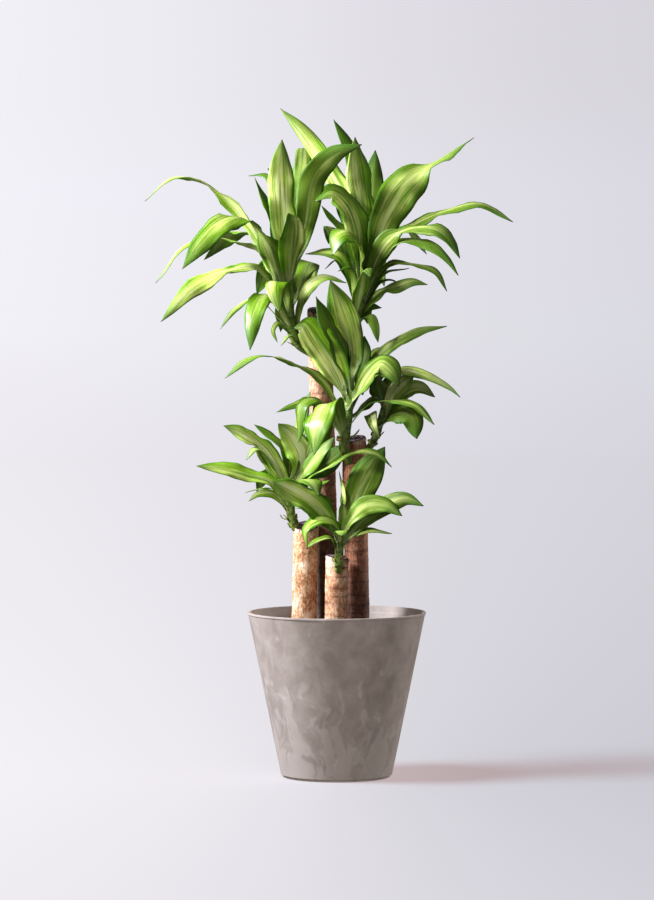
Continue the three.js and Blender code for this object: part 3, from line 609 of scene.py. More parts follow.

# A shoot is its stem, the stem's radius along it, the bare part of the stem, and its leaves
# from the lowest up. A leaf is the points that its midrib passes through after the stem, its
# width, how far its upper face turns to the front from root to tip in degrees, its stripe (which
# also sets how deep its green is, partly as painted shade), and where it is pinched and by how
# much. Lengths are in millimetres.
SHOOTS = {
    "shoot_upper_left": {
        "stem": [(-45, 36, 782), (-72, 26, 803), (-87, 16, 850), (-90, 10, 940)],
        "radius": [9, 11, 10, 7],
        "bare": 0.18,
        "leaves": [
            [[(-90, 5, 814), (-103, 0, 797)], 14, (0, 0), STRIPED],
            [[(-108, 0, 838), (-117, -3, 825), (-109, -5, 802)], 10, (60, 60), STRIPED],
            [[(-55, 0, 900), (-20, 0, 923), (18, -5, 912)], 26, (60, 60, 40), PALE],
            [[(-150, -15, 884), (-185, -25, 866), (-214, -35, 828)],
             16, (15, 10, 50), STRIPED, (0.5, 0.55)],
            [[(-128, -45, 892), (-150, -85, 860), (-158, -100, 790)], 40, (0, 20), PLAIN],
            [[(-95, 60, 880), (-100, 100, 870), (-105, 125, 820)], 36, (-10, 24), PLAIN],
            [[(-108, -35, 915), (-112, -62, 905), (-105, -85, 860)], 42, (20, 15, 10), STRIPED],
            [[(-105, 60, 930), (-125, 120, 945), (-150, 170, 890)], 45, (12, -22), PLAIN],
            [[(-150, -30, 940), (-200, -50, 935), (-260, -80, 906), (-320, -110, 842)],
             40, (40, 45, 20, 60, 60), PALE, (0.5, 0.62)],
            [[(-60, 60, 930), (-50, 120, 950), (-45, 170, 905)], 42, (-10, 24), PLAIN],
            [[(-140, 20, 965), (-200, 10, 992), (-275, -10, 985), (-333, -25, 912)],
             34, (30, 0, -5, 15), PALE, (0.52, 0.6)],
            [[(-130, -30, 990), (-175, -60, 1032), (-225, -100, 1010), (-280, -140, 938)],
             56, (-60, -50, 20, 35, 45), PLAIN, (0.42, 0.4)],
            [[(-130, 70, 990), (-190, 130, 1005), (-250, 190, 955)], 48, (12, -22), PLAIN],
            [[(-140, 0, 985), (-190, -10, 1050), (-240, -20, 1095), (-300, -30, 1107), (-352, -40, 1062)],
             36, (-60, -60, -30, 0, 5), PALE, (0.36, 0.45), (0.6, 0.45)],
            [[(-85, 80, 1010), (-80, 150, 1050), (-100, 210, 1000)], 50, (-10, 24), PLAIN],
            [[(-120, 60, 1040), (-152, 90, 1108)], 30, (12, -22), DARK],
            [[(-110, 70, 1070), (-130, 100, 1112), (-165, 120, 1112)], 24, (-10, 24), DARK],
            [[(-84, -30, 980), (-80, -42, 1015), (-79, -42, 1032), (-76, -20, 1036)], 48, (0, 0), STRIPED],
            [[(-105, 60, 1060), (-110, 95, 1120), (-125, 150, 1120)], 46, (12, -22), PLAIN],
            [[(-75, 45, 1010), (-60, 60, 1100), (-58, 90, 1160), (-60, 140, 1150)], 50, (-10, 24), STRIPED],
            [[(-58, -10, 1020), (-42, -25, 1105), (-2, -35, 1148), (46, -40, 1166)],
             48, (110, 122, 122, 112), DARK],
            [[(-98, 25, 1010), (-102, 35, 1100), (-101, 50, 1178)], 54, (0, 0), PALE],
            [[(-88, 12, 1000), (-86, 15, 1040)], 14, (0, 0), PALE],
        ],
    },
    "shoot_upper_right": {
        "stem": [(-16, 37, 800), (18, 26, 818), (38, 16, 850), (46, 10, 945)],
        "radius": [9, 11, 10, 7],
        "bare": 0.22,
        "leaves": [
            [[(60, 0, 852), (70, -8, 835), (76, -12, 803)], 20, (10, 40), STRIPED],
            [[(62, 10, 868), (83, 15, 866)], 18, (60, 60), DARK],
            [[(85, -5, 898), (110, -8, 904), (140, -15, 914), (167, -20, 909)],
             24, (60, 50, 85, 60), PLAIN, (0.55, 0.6)],
            [[(80, 20, 913), (105, 25, 917), (122, 28, 900)], 12, (30, 30), DARK],
            [[(46, -26, 905), (50, -40, 930), (56, -52, 938), (62, -62, 922)], 32, (10, 20, 20), STRIPED],
            [[(50, 60, 890), (52, 110, 885), (58, 140, 835)], 38, (12, -22), PLAIN],
            [[(25, -30, 942), (2, -50, 934)], 18, (20, 20), DARK],
            [[(95, 0, 945), (130, -5, 948), (180, -20, 935), (202, -30, 897)],
             22, (30, 50, 20, 60), PLAIN, (0.45, 0.45)],
            [[(85, 40, 928), (135, 60, 939)], 12, (20, 20), PLAIN],
            [[(10, -5, 962), (-20, -5, 970), (-58, 0, 966)], 30, (40, 40), PLAIN],
            [[(0, 20, 955), (-22, 30, 938)], 18, (0, 0), DARK],
            [[(60, 80, 960), (75, 150, 965), (90, 200, 905)], 46, (-10, 24), PLAIN],
            [[(110, -20, 985), (160, -40, 986), (200, -60, 958), (222, -70, 926)], 26, (10, 30, 50), GREEN],
            [[(10, 60, 985), (-5, 110, 1015), (-15, 165, 985)], 44, (12, -22), DARK],
            [[(90, -20, 985), (130, -40, 1010), (180, -65, 1012), (208, -80, 990), (224, -90, 957)],
             44, (118, 118, 25, 35), GREEN, (0.52, 0.7)],
            [[(110, 30, 1000), (150, 25, 1022), (200, 15, 1044), (265, 0, 1056), (324, -15, 1024)],
             30, (30, 50, 40, 25, 60), PLAIN, (0.2, 0.6), (0.58, 0.3)],
            [[(42, -30, 975), (26, -48, 1004), (4, -62, 1000), (-9, -70, 962)], 62, (60, 50, 20), STRIPED],
            [[(95, 70, 1000), (135, 130, 1012), (170, 190, 965)], 48, (-10, 24), PLAIN],
            [[(35, 90, 1020), (20, 160, 1060), (10, 225, 1025)], 48, (12, -22), PLAIN],
            [[(85, 10, 1020), (118, 15, 1080), (158, 25, 1118), (203, 30, 1148), (254, 35, 1180)],
             68, (88, 104, 100, 80, 8, 0), PLAIN, (0.72, 0.45)],
            [[(40, -8, 1010), (18, -14, 1062), (-10, -18, 1082), (-40, -22, 1062)],
             54, (60, 80, 70, 60), PLAIN],
            [[(20, 20, 1000), (-5, 25, 1030), (-28, 25, 1055)], 30, (30, 30), DARK],
            [[(62, 50, 1060), (72, 70, 1158)], 52, (20, 20), DARK],
            [[(90, 60, 1040), (120, 100, 1095), (150, 150, 1110)], 48, (-10, 24), PLAIN],
            [[(30, 40, 1040), (-15, 60, 1125), (-60, 70, 1190), (-105, 80, 1236)], 38, (50, 65, 70), PALE],
            [[(45, 55, 1080), (25, 60, 1160), (-6, 60, 1215)], 34, (30, 30), DARK],
            [[(50, 20, 1040), (42, 25, 1120), (34, 30, 1182)], 56, (0, 0), PALE],
            [[(48, 12, 1000), (50, 15, 1040)], 14, (0, 0), STRIPED],
        ],
    },
    "shoot_middle": {
        "stem": [(24, -12, 582), (14, -28, 612), (19, -32, 665), (24, -30, 722)],
        "radius": [8, 10, 10, 7],
        "bare": 0.3,
        "leaves": [
            [[(32, -36, 632), (42, -40, 644)], 12, (0, 0), STRIPED],
            [[(-15, -70, 692), (-35, -105, 665), (-42, -115, 600)], 62, (-10, -5), PLAIN],
            [[(-40, -50, 700), (-62, -60, 690), (-70, -65, 620)], 36, (0, 20), DARK],
            [[(-40, -20, 694), (-80, -30, 688), (-111, -35, 675)], 20, (40, 50), DARK],
            [[(60, -45, 688), (100, -60, 697), (145, -75, 688), (178, -85, 654)],
             22, (20, 10, 60), PLAIN, (0.5, 0.3)],
            [[(-20, -20, 722), (-60, -30, 755), (-110, -40, 776), (-155, -50, 778), (-205, -60, 738)],
             30, (50, 40, 0, 50), STRIPED, (0.5, 0.35)],
            [[(70, -25, 700), (82, -30, 690)], 30, (20, 20), DARK],
            [[(30, 60, 720), (40, 120, 740), (50, 170, 700)], 46, (12, -22), PLAIN],
            [[(60, -10, 730), (110, -20, 752), (160, -35, 744), (205, -50, 722), (226, -60, 703)],
             20, (40, 10, 65, 50), STRIPED, (0.42, 0.55)],
            [[(60, 10, 755), (100, 15, 795), (150, 20, 822), (204, 20, 832)], 24, (40, 45, 50), STRIPED],
            [[(70, 50, 740), (110, 100, 745), (130, 140, 710)], 42, (-10, 24), PLAIN],
            [[(36, -44, 705), (58, -60, 745), (82, -74, 768), (102, -84, 752), (113, -88, 724)],
             54, (60, 60, 55, 45, 30), PLAIN],
            [[(55, 70, 760), (75, 120, 790), (90, 160, 770)], 42, (12, -22), DARK],
            [[(50, 40, 730), (72, 65, 755), (85, 75, 730)], 44, (10, 10), DARK],
            [[(35, 10, 750), (52, 25, 814)], 52, (0, 0), DARK],
            [[(-5, -48, 762), (-34, -58, 808), (-58, -54, 840), (-80, -36, 830)],
             64, (80, 90, 80, 60), STRIPED],
            [[(12, -38, 760), (-10, -46, 830), (-38, -42, 888)], 46, (55, 50), DARK],
            [[(27, -14, 780), (12, -20, 850), (-12, -26, 918)], 58, (75, 85, 80), STRIPED],
            [[(25, -30, 760), (26, -30, 790)], 12, (0, 0), STRIPED],
        ],
    },
    "shoot_right": {
        "stem": [(50, 1, 600), (65, -5, 616), (77, -8, 645), (88, -8, 688)],
        "radius": [6, 7, 7, 5],
        "bare": 0.45,
        "leaves": [
            [[(62, -30, 672), (66, -40, 650), (79, -42, 627)], 24, (0, 30), STRIPED],
            [[(112, -35, 674), (136, -50, 668), (147, -55, 627)], 46, (45, 60), DARK],
            [[(105, 30, 668), (130, 55, 672), (140, 65, 650)], 24, (-10, 24), PLAIN],
            [[(130, -5, 716), (155, -10, 720), (181, -12, 702)], 30, (50, 60), PALE],
            [[(100, 50, 700), (130, 100, 690)], 24, (12, -22), DARK],
            [[(110, -15, 715), (143, -20, 749)], 32, (80, 80), PALE],
            [[(95, 25, 720), (105, 40, 752)], 28, (0, 0), DARK],
            [[(80, 10, 712), (74, 14, 738)], 40, (0, 0), DARK],
        ],
    },
    "shoot_low_left": {
        "stem": [(-66, 0, 446), (-80, -3, 470), (-86, -5, 505), (-80, -8, 552)],
        "radius": [7, 8, 9, 6],
        "bare": 0.3,
        "leaves": [
            [[(-98, -8, 478), (-104, -10, 486)], 8, (0, 0), STRIPED],
            [[(-115, -10, 522), (-145, -20, 524), (-162, -25, 511)], 18, (40, 50), STRIPED],
            [[(-120, 10, 533), (-150, 15, 531), (-169, 15, 525)], 12, (0, 0), STRIPED],
            [[(-95, 50, 525), (-108, 90, 536), (-114, 122, 518)], 34, (-10, 24), PLAIN],
            [[(-120, -20, 545), (-165, -30, 562), (-210, -40, 574), (-258, -45, 577)],
             32, (60, 50, 65), STRIPED],
            [[(-62, -50, 550), (-42, -85, 548), (-32, -105, 524)], 44, (0, 0), PLAIN],
            [[(-100, 60, 560), (-130, 110, 560), (-150, 140, 520)], 38, (12, -22), PLAIN],
            [[(-115, 20, 560), (-140, 30, 596)], 24, (20, 20), DARK],
            [[(-125, -25, 590), (-150, -40, 610), (-166, -50, 588)], 26, (30, 20), STRIPED],
            [[(-40, -60, 560), (0, -78, 585), (40, -88, 606), (72, -94, 603), (100, -98, 577)],
             20, (30, 20, 60), PLAIN],
            [[(-112, -15, 575), (-140, -25, 615), (-175, -35, 640), (-208, -40, 651)],
             42, (60, 85, 50, 70), PALE, (0.62, 0.35)],
            [[(-92, 25, 600), (-122, 35, 632), (-153, 40, 650)], 30, (40, 10, 20), DARK],
            [[(-75, 60, 590), (-75, 100, 615), (-85, 130, 600)], 36, (-10, 24), PLAIN],
            [[(-44, -8, 566), (-8, -10, 590), (20, -14, 616)], 44, (70, 70), DARK],
            [[(-45, -25, 580), (-22, -35, 610), (-3, -42, 630)], 30, (70, 70), STRIPED],
            [[(-48, -6, 600), (-26, -8, 648), (-10, -8, 694)], 42, (85, 80), DARK],
            [[(-66, -10, 590), (-85, -12, 630), (-108, -15, 654)], 50, (85, 80), PALE],
            [[(-70, 10, 610), (-64, 15, 670), (-48, 12, 712)], 30, (20, 20), PALE],
        ],
    },
    "shoot_low_left_small": {
        "stem": [(-52, -10, 446), (-45, -22, 472), (-46, -25, 515)],
        "radius": [5, 6, 4],
        "bare": 0.4,
        "leaves": [
            [[(-60, -32, 498), (-76, -34, 499)], 12, (0, 0), PLAIN],
            [[(-28, -38, 516), (-5, -45, 511)], 22, (30, 30), STRIPED],
            [[(-32, -32, 540), (-13, -36, 550)], 26, (30, 30), DARK],
            [[(-52, -36, 530), (-58, -42, 534)], 16, (0, 0), DARK],
        ],
    },
    "shoot_front": {
        "stem": [(3, -52, 380), (4, -70, 398), (5, -75, 430), (6, -72, 462)],
        "radius": [7, 8, 8, 5],
        "bare": 0.45,
        "leaves": [
            [[(-12, -80, 447), (-35, -88, 445), (-56, -92, 429)], 14, (30, 30), STRIPED],
            [[(28, -80, 450), (60, -85, 461), (101, -90, 455)], 16, (30, 30), PLAIN],
            [[(-2, -92, 470), (-30, -104, 484), (-58, -112, 464), (-54, -115, 428)],
             30, (70, 50, 20, 10), PLAIN],
            [[(50, -85, 480), (90, -95, 507), (125, -105, 520), (158, -112, 507)], 34, (85, 85), PLAIN],
            [[(6, -95, 452), (8, -125, 462), (10, -150, 455)], 26, (0, 0), STRIPED],
            [[(25, -85, 480), (52, -100, 506), (90, -110, 508), (119, -115, 489)], 36, (80, 80, 60), PLAIN],
            [[(-18, -84, 482), (-50, -98, 516), (-88, -108, 540), (-119, -115, 552)],
             54, (75, 70, 60), STRIPED],
            [[(12, -70, 500), (4, -62, 568)], 20, (80, 80), PALE],
            [[(28, -70, 500), (55, -65, 560), (88, -60, 613)], 58, (80, 80, 80), PLAIN],
            [[(12, -82, 480), (10, -88, 512)], 20, (0, 0), STRIPED],
        ],
    },
}

SHOOT_SEED = 60
BLADE_THICKNESS = 0.9 * MM
LEAF_ALONG = 40
LEAF_ACROSS = 10
WAVE_LENGTH = 85 * MM
WAVE_HEIGHT = 0.11
WAVE_TURN = 2.4  # radians from one leaf to the next
RUFFLE_LENGTH = 27 * MM
RUFFLE_HEIGHT = 0.026
ROOT_FOLD = 1.55  # radians from midrib to margin
END_DROOP = 0.42
FLATTEST = 0.001
CREASE = 0.17
CREASE_START = 0.3
CREASE_FADE = 1.3
ROOT_REACH = 3 * MM
SHEATH_WIDTH = 0.56
SHEATH_REACH = 0.14
ROOT_WIDTH = 0.32
PINCH_REACH = 0.06
WANDER = 0.06
WANDER_RATE = 11
WIDEST = 0.5
TIP_TAPER = 1.6
TIP_HALF = 0.3 * MM
SCALE_LEAVES = 7
SCALE_LENGTHS = (9, 18)  # millimetres
SCALE_WIDTHS = (9, 14)
SCALE_DRYNESS = (0.1, 0.9)
SCALE_TURN = 2.4
SCALE_START = 0.8
SCALE_CLEAR = 1.0
SCALE_SPLAY = 1.5
SCALE_KNOTS = (0.35, 0.7)
LEAF_ROOM = 10  # metres of noise that the leaves are placed in
STEM_SAMPLES = 200
STEM_SEGMENTS = 32
STEM_STEP = 1.0 * MM
STEM_SCAR_SPACING = 5 * MM
STEM_SCAR_WIDTH = 0.5 * MM
STEM_SCAR_LEAN = 0.8 * MM
STEM_RIDGE = 0.2 * MM
STEM_SCAR_DEPTH = 0.6


def blend(low, high, share):
    return low + (high - low) * share


def between(values, share):
    """The value at a place along a row of evenly spaced ones."""
    place = share * (len(values) - 1)
    first = max(min(int(place), len(values) - 2), 0)
    return blend(values[first], values[min(first + 1, len(values) - 1)], eased(place - first))


def leaf_outline(share):
    """Part of its full width that a leaf has at a place along it, from its sheath to its tip."""
    sheath = blend(SHEATH_WIDTH, 0.0, eased(share / SHEATH_REACH))
    if share < WIDEST:
        return max(sheath, blend(ROOT_WIDTH, 1.0, eased(share / WIDEST)))
    return math.cos(math.pi / 2 * ((share - WIDEST) / (1 - WIDEST)) ** TIP_TAPER)


def add_leaf(mesh, stem, share, leaf, number, draw, dryness=0.0):
    """Bends a flat grid into one leaf on the stem."""
    points, width, rolls, stripe_and_painted_shade, *pinches = leaf
    width *= MM
    root = stem[round(share * (len(stem) - 1))]
    out = Vector(points[-1]) * MM - root
    out.z = 0
    out.normalize()
    midrib = path_through([(root + out * ROOT_REACH) / MM, *points], LEAF_ALONG + 1)
    length = sum((b - a).length for a, b in zip(midrib, midrib[1:]))
    made = bmesh.ops.create_grid(mesh, x_segments=LEAF_ACROSS, y_segments=LEAF_ALONG, size=1)
    uv = mesh.loops.layers.uv["UVMap"]
    span = mesh.verts.layers.float_vector["span"]
    look = mesh.verts.layers.float_vector["look"]
    rows = [[] for _ in midrib]
    for vert in made["verts"]:
        for loop in vert.link_loops:
            loop[uv].uv = ((vert.co.x + 1) / 2, (vert.co.y + 1) / 2)
        vert[span] = (width, length, LEAF_ROOM * draw)
        vert[look] = (stripe_and_painted_shade, draw, dryness)
        rows[round((vert.co.y + 1) / 2 * LEAF_ALONG)].append(vert)
    level = Vector((0, 0, 1)).cross(out)
    across = -level if level.y < 0 else level.copy()
    for station, (centre, way, verts) in enumerate(zip(midrib, directions(midrib), rows)):
        s = station / LEAF_ALONG
        across = (across - way * across.dot(way)).normalized()
        up = way.cross(across)
        if level.dot(across) < 0:
            up.negate()
        roll = math.radians(between(rolls, s))
        side = across * math.cos(roll) + up * math.sin(roll)
        face = up * math.cos(roll) - across * math.sin(roll)
        fold = (ROOT_FOLD + END_DROOP) * (1 - s) ** 3 - END_DROOP
        fold = fold if abs(fold) > FLATTEST else FLATTEST
        half = width / 2 * leaf_outline(s) * (1 + WANDER * math.sin(WANDER_RATE * s + 25 * draw))
        for place, narrowing in pinches:
            half *= 1 - narrowing * math.exp(-((s - place) / PINCH_REACH) ** 2)
        half = max(half, TIP_HALF)
        crease = CREASE * eased(s / CREASE_START) * (1 - CREASE_FADE * s)
        for vert in verts:
            u = vert.co.x
            bend = u * fold
            wave = WAVE_HEIGHT * width * math.sin(math.pi * s) * u ** 2
            wave *= math.sin(2 * math.pi * length / WAVE_LENGTH * s + WAVE_TURN * number + u)
            ruffle = RUFFLE_HEIGHT * width * math.sin(math.pi * s) * u ** 4
            ruffle *= math.sin(2 * math.pi * length / RUFFLE_LENGTH * s + 9 * draw + 2 * u)
            vert.co = centre + side * (half * math.sin(bend) / fold)
            vert.co += face * (half * ((1 - math.cos(bend)) / fold + crease * abs(u)) + wave + ruffle)


def stem_shape(radii, length, draw):
    rings = ringed(draw, length, STEM_SCAR_SPACING)

    def shape(height, angle):
        place = min(height / length, 0.999) * (len(radii) - 1)
        radius = blend(radii[int(place)], radii[int(place) + 1], place % 1) * MM
        line = scar_at(rings, height, angle, STEM_SCAR_WIDTH, STEM_SCAR_LEAN)
        ridge = STEM_RIDGE * math.exp(-(line - RIDGE_ABOVE) ** 2)
        return radius + ridge, STEM_SCAR_DEPTH * math.exp(-line ** 2)

    return shape


# Dracaena leaf, upper face: a waxy cuticle over mid green tissue, with a soft yellow-green
# band up the middle, broken into streaks and patches, and a cream keel towards the root. The
# under face has the same band, duller, because it has less wax. Real veins are closer
# together: they are drawn coarser, so that they show.
LEAF_FACES = {
    "leaf_upper": {
        "green": [(0.0, "#82ad1e"), (0.7, "#6d9b10"), (1.0, "#4f870a")], "lime": "#bcc76d",
        "dark": "#2c5708", "cream": "#e4e6ce", "roughness": 0.46, "wax": 0.28,
    },
    "leaf_under": {
        "green": [(0.0, "#87a934"), (0.7, "#759b24"), (1.0, "#5a8817")], "lime": "#b4c16e",
        "dark": "#37611a", "cream": "#d8dfae", "roughness": 0.55, "wax": 0.10,
    },
}
VEIN_SPACING = 1.3 * MM
STREAK_SPACING = 5 * MM
PATCH_SPACING = 24 * MM
STREAK_STRETCH = (1.0, 0.035, 1.0)
PATCH_STRETCH = (1.0, 0.28, 1.0)
NOISE_SPREAD = (0.36, 0.64)
BAND_ASIDE = 0.22  # parts of the leaf's width
BAND_REACHES = (-0.22, 0.62)
BAND_RAGGED = 0.28
BAND_SOFT = 0.50
leaf_materials = []
for name, finish in LEAF_FACES.items():
    leaf, leaf_surface = new_material(name)
    uv = node(leaf, "UVMap", uv_map="UVMap").outputs["UV"]
    split = node(leaf, "SeparateXYZ", {"Vector": uv})
    along = split.outputs["Y"]
    span = node(leaf, "Attribute", attribute_name="span").outputs["Vector"]
    sizes = node(leaf, "SeparateXYZ", {"Vector": span})
    look = node(leaf, "Attribute", attribute_name="look").outputs["Vector"]
    looks = node(leaf, "SeparateXYZ", {"Vector": look})
    stripe_and_painted_shade, chance, dryness = (looks.outputs[axis] for axis in "XYZ")

    # Places on the leaf in metres, squeezed along it, so that noise comes out as long streaks.
    sideways = node(leaf, "Math", [split.outputs["X"], 0.5], operation="SUBTRACT")
    metres_across = node(leaf, "Math", [sideways, sizes.outputs["X"]], operation="MULTIPLY")
    metres_along = node(leaf, "Math", [along, sizes.outputs["Y"]], operation="MULTIPLY")
    leaf_place = node(leaf, "CombineXYZ",
                      {"X": metres_across, "Y": metres_along, "Z": sizes.outputs["Z"]})
    streak_room = node(leaf, "Mapping", {"Vector": leaf_place, "Scale": STREAK_STRETCH})
    patch_room = node(leaf, "Mapping", {"Vector": leaf_place, "Scale": PATCH_STRETCH})
    veins = node(leaf, "TexNoise",
                 {"Vector": streak_room, "Scale": 1 / VEIN_SPACING, "Detail": 1.0, "Roughness": 0.5})
    streaks = node(leaf, "TexNoise",
                   {"Vector": streak_room, "Scale": 1 / STREAK_SPACING, "Detail": 3.0,
                    "Roughness": 0.6})
    patches = node(leaf, "TexNoise",
                   {"Vector": patch_room, "Scale": 1 / PATCH_SPACING, "Detail": 3.0, "Roughness": 0.55})
    from_midrib = node(leaf, "Math", [sideways], operation="ABSOLUTE")
    share_out = node(leaf, "Math", [from_midrib, 2.0], operation="MULTIPLY")

    # The yellow-green band, wider on some leaves and off the middle on most, soft at its edges,
    # streaked and patchy.
    off_middle = node(leaf, "MapRange", [chance, 0.0, 1.0, -BAND_ASIDE, BAND_ASIDE])
    aside = node(leaf, "Math", [sideways, off_middle], operation="ADD")
    from_band = node(leaf, "Math", [aside], operation="ABSOLUTE")
    band_out = node(leaf, "Math", [from_band, 1.5], operation="MULTIPLY")
    band_reach = node(leaf, "MapRange", [stripe_and_painted_shade, 0.0, 1.0, *BAND_REACHES])
    inside = node(leaf, "Math", [band_reach, band_out], operation="SUBTRACT")
    streak_push = node(leaf, "MapRange", [streaks, *NOISE_SPREAD, -BAND_RAGGED, BAND_RAGGED])
    patch_push = node(leaf, "MapRange", [patches, *NOISE_SPREAD, -BAND_RAGGED, BAND_RAGGED])
    streaked = node(leaf, "Math", [inside, streak_push], operation="ADD")
    patchy = node(leaf, "Math", [streaked, patch_push], operation="ADD")
    lime_share = node(leaf, "MapRange", [patchy, -BAND_SOFT, BAND_SOFT], interpolation_type="SMOOTHSTEP")
    green = node(leaf, "ValToRGB", {"Fac": share_out}, stops=finish["green"])
    # Painted shade: leaves with less stripe get a deeper green, partly their own tone and partly standing
    # in for the shade that other leaves cast on them.
    green_depth_and_painted_shade = node(leaf, "MapRange", [stripe_and_painted_shade, 0.0, 1.0, 0.40, 1.12])
    greened = node(leaf, "VectorMath", {0: green, 3: green_depth_and_painted_shade}, operation="SCALE")
    limed = node(leaf, "Mix", {0: lime_share, 6: greened, 7: colour(finish["lime"])}, data_type="RGBA")
    cream_share = node(leaf, "MapRange", [patchy, 0.28, 1.0, 0.0, 0.75])
    creamed = node(leaf, "Mix", {0: cream_share, 6: limed, 7: colour(finish["cream"])},
                   data_type="RGBA")

    # Dark green streaks, then veins as finer and fainter ones.
    dark_share = node(leaf, "MapRange", [streaks, 0.48, 0.36, 0.0, 0.55])
    darkened = node(leaf, "Mix", {0: dark_share, 6: creamed, 7: colour(finish["dark"])},
                    data_type="RGBA")
    vein_tone = node(leaf, "MapRange", [veins, 0.35, 0.65, 0.90, 1.09])
    veined = node(leaf, "VectorMath", {0: darkened, 3: vein_tone}, operation="SCALE")

    # The cream keel and root, the greener end and the dry tip.
    keel_out = node(leaf, "MapRange", [share_out, 0.13, 0.02, 0.0, 0.36])
    keel_along = node(leaf, "MapRange", [along, 0.70, 0.25])
    keel = node(leaf, "Math", [keel_out, keel_along], operation="MULTIPLY")
    root_share = node(leaf, "MapRange", [along, 0.22, 0.03, 0.0, 0.5])
    pale_share = node(leaf, "Math", [keel, root_share], operation="MAXIMUM")
    paled = node(leaf, "Mix", {0: pale_share, 6: veined, 7: colour(finish["cream"])}, data_type="RGBA")
    end_share = node(leaf, "MapRange", [along, 0.70, 0.96, 0.0, 0.8])
    ended = node(leaf, "Mix", {0: end_share, 6: paled, 7: colour(finish["dark"])}, data_type="RGBA")
    tip_share = node(leaf, "MapRange", [along, 0.975, 0.99, 0.0, 0.9])
    tipped = node(leaf, "Mix", {0: tip_share, 6: ended, 7: colour("#3f3319")}, data_type="RGBA")
    tone = node(leaf, "MapRange", [chance, 0.0, 1.0, 0.85, 1.15])
    toned = node(leaf, "VectorMath", {0: tipped, 3: tone}, operation="SCALE")
    dried = node(leaf, "Mix", {0: dryness, 6: toned, 7: colour("#937448")}, data_type="RGBA")
    vein_bump = node(leaf, "Bump", {"Height": veins, "Strength": 0.3, "Distance": 0.3 * MM})
    fill(leaf, leaf_surface, {"Base Color": dried, "Roughness": finish["roughness"],
                              "Specular IOR Level": 0.15, "Coat Weight": finish["wax"],
                              "Coat Roughness": 0.34, "Subsurface Weight": 0.25,
                              "Subsurface Radius": (0.5, 1.0, 0.15), "Subsurface Scale": 2.0 * MM,
                              "Normal": vein_bump})
    leaf_materials.append(leaf)

# Young stem, still green: smooth skin, pale olive, with a brown line at each leaf scar.
MOTTLE_SIZE = 9 * MM
green_stem, green_stem_surface = new_material("green_stem")
position = node(green_stem, "TexCoord").outputs["Object"]
mottle = node(green_stem, "TexNoise",
              {"Vector": position, "Scale": 1 / MOTTLE_SIZE, "Detail": 5.0, "Roughness": 0.6})
stem_tone = node(green_stem, "ValToRGB", {"Fac": mottle},
                 stops=[(0.34, "#34561c"), (0.5, "#66862f"), (0.66, "#9aa852")])
stem_scar = node(green_stem, "Attribute", attribute_name="scar")
stem_lines = node(green_stem, "Mix", {0: stem_scar.outputs["Fac"], 6: stem_tone, 7: colour("#4c3f25")},
                  data_type="RGBA")
stem_bump = node(green_stem, "Bump", {"Height": mottle, "Strength": 0.4, "Distance": 0.6 * MM})
fill(green_stem, green_stem_surface, {"Base Color": stem_lines, "Roughness": 0.5, "Normal": stem_bump})

for number, (name, shoot) in enumerate(SHOOTS.items()):
    draw = random.Random(SHOOT_SEED + number)
    stem = path_through(shoot["stem"], STEM_SAMPLES)
    length = sum((b - a).length for a, b in zip(stem, stem[1:]))
    stem_places = path_through(shoot["stem"], round(length / STEM_STEP))
    shape = stem_shape(shoot["radius"], length, draw)
    stem_mesh = round_bar(stem_places, STEM_SEGMENTS, shape)[0]
    stalk = new_piece(name + "_stem", stem_mesh, green_stem)
    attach(stalk, "root")
    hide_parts(name)
    leaf_mesh = bmesh.new()
    leaf_mesh.loops.layers.uv.new("UVMap")
    leaf_mesh.verts.layers.float_vector.new("span")
    leaf_mesh.verts.layers.float_vector.new("look")
    leaves = shoot["leaves"]
    for order, leaf in enumerate(leaves):
        share = blend(shoot["bare"], 1.0, (order + 0.5) / len(leaves))
        add_leaf(leaf_mesh, stem, share, leaf, order, draw.random())
    for order in range(SCALE_LEAVES):
        share = shoot["bare"] * (order + SCALE_START) / SCALE_LEAVES
        spot = round(share * (len(stem) - 1))
        turn = SCALE_TURN * order + number
        out = Vector((math.cos(turn), math.sin(turn), 0))
        out *= between(shoot["radius"], share) + SCALE_CLEAR
        rise = (stem[spot + 1] - stem[spot]).normalized() * draw.uniform(*SCALE_LENGTHS)
        points = [tuple(stem[spot] / MM + out + rise * part) for part in SCALE_KNOTS]
        points.append(tuple(stem[spot] / MM + out * SCALE_SPLAY + rise))
        scale = [points, draw.uniform(*SCALE_WIDTHS), (0, 0), PLAIN]
        add_leaf(leaf_mesh, stem, share, scale, order, draw.random(), draw.uniform(*SCALE_DRYNESS))
    foliage = new_piece(name + "_leaves", leaf_mesh, *leaf_materials)
    thickness = foliage.modifiers.new("blade thickness", "SOLIDIFY")
    thickness.thickness = BLADE_THICKNESS
    thickness.offset = -1
    thickness.material_offset = 1
    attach(foliage, "root")
    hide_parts(name)


# Studio
# A seamless sweep that only the camera sees, in a dim room, its brightness mostly painted on as
# a glow of its own. The key lamp stands high on the left, a gridded lamp in front of it picks out
# the plant, two weak ones fill the pot and edge it and the right cane, and one more gives the
# floor its shadow.

SWEEP_FLOOR_RADIUS = 13.0
SWEEP_CURVE = 2.0
SWEEP_HEIGHT = 5.0
SWEEP_CURVE_STEPS = 16
SWEEP_STEPS = 128
sweep_profile = [(0, 0), (SWEEP_FLOOR_RADIUS, 0)]
for step in range(1, SWEEP_CURVE_STEPS + 1):
    turn = math.pi / 2 * step / SWEEP_CURVE_STEPS
    sweep_profile.append((SWEEP_FLOOR_RADIUS + SWEEP_CURVE * math.sin(turn),
                          SWEEP_CURVE * (1 - math.cos(turn))))
sweep_profile.append((SWEEP_FLOOR_RADIUS + SWEEP_CURVE, SWEEP_HEIGHT))
sweep_mesh = spun(sweep_profile, SWEEP_STEPS)
bmesh.ops.reverse_faces(sweep_mesh, faces=sweep_mesh.faces)
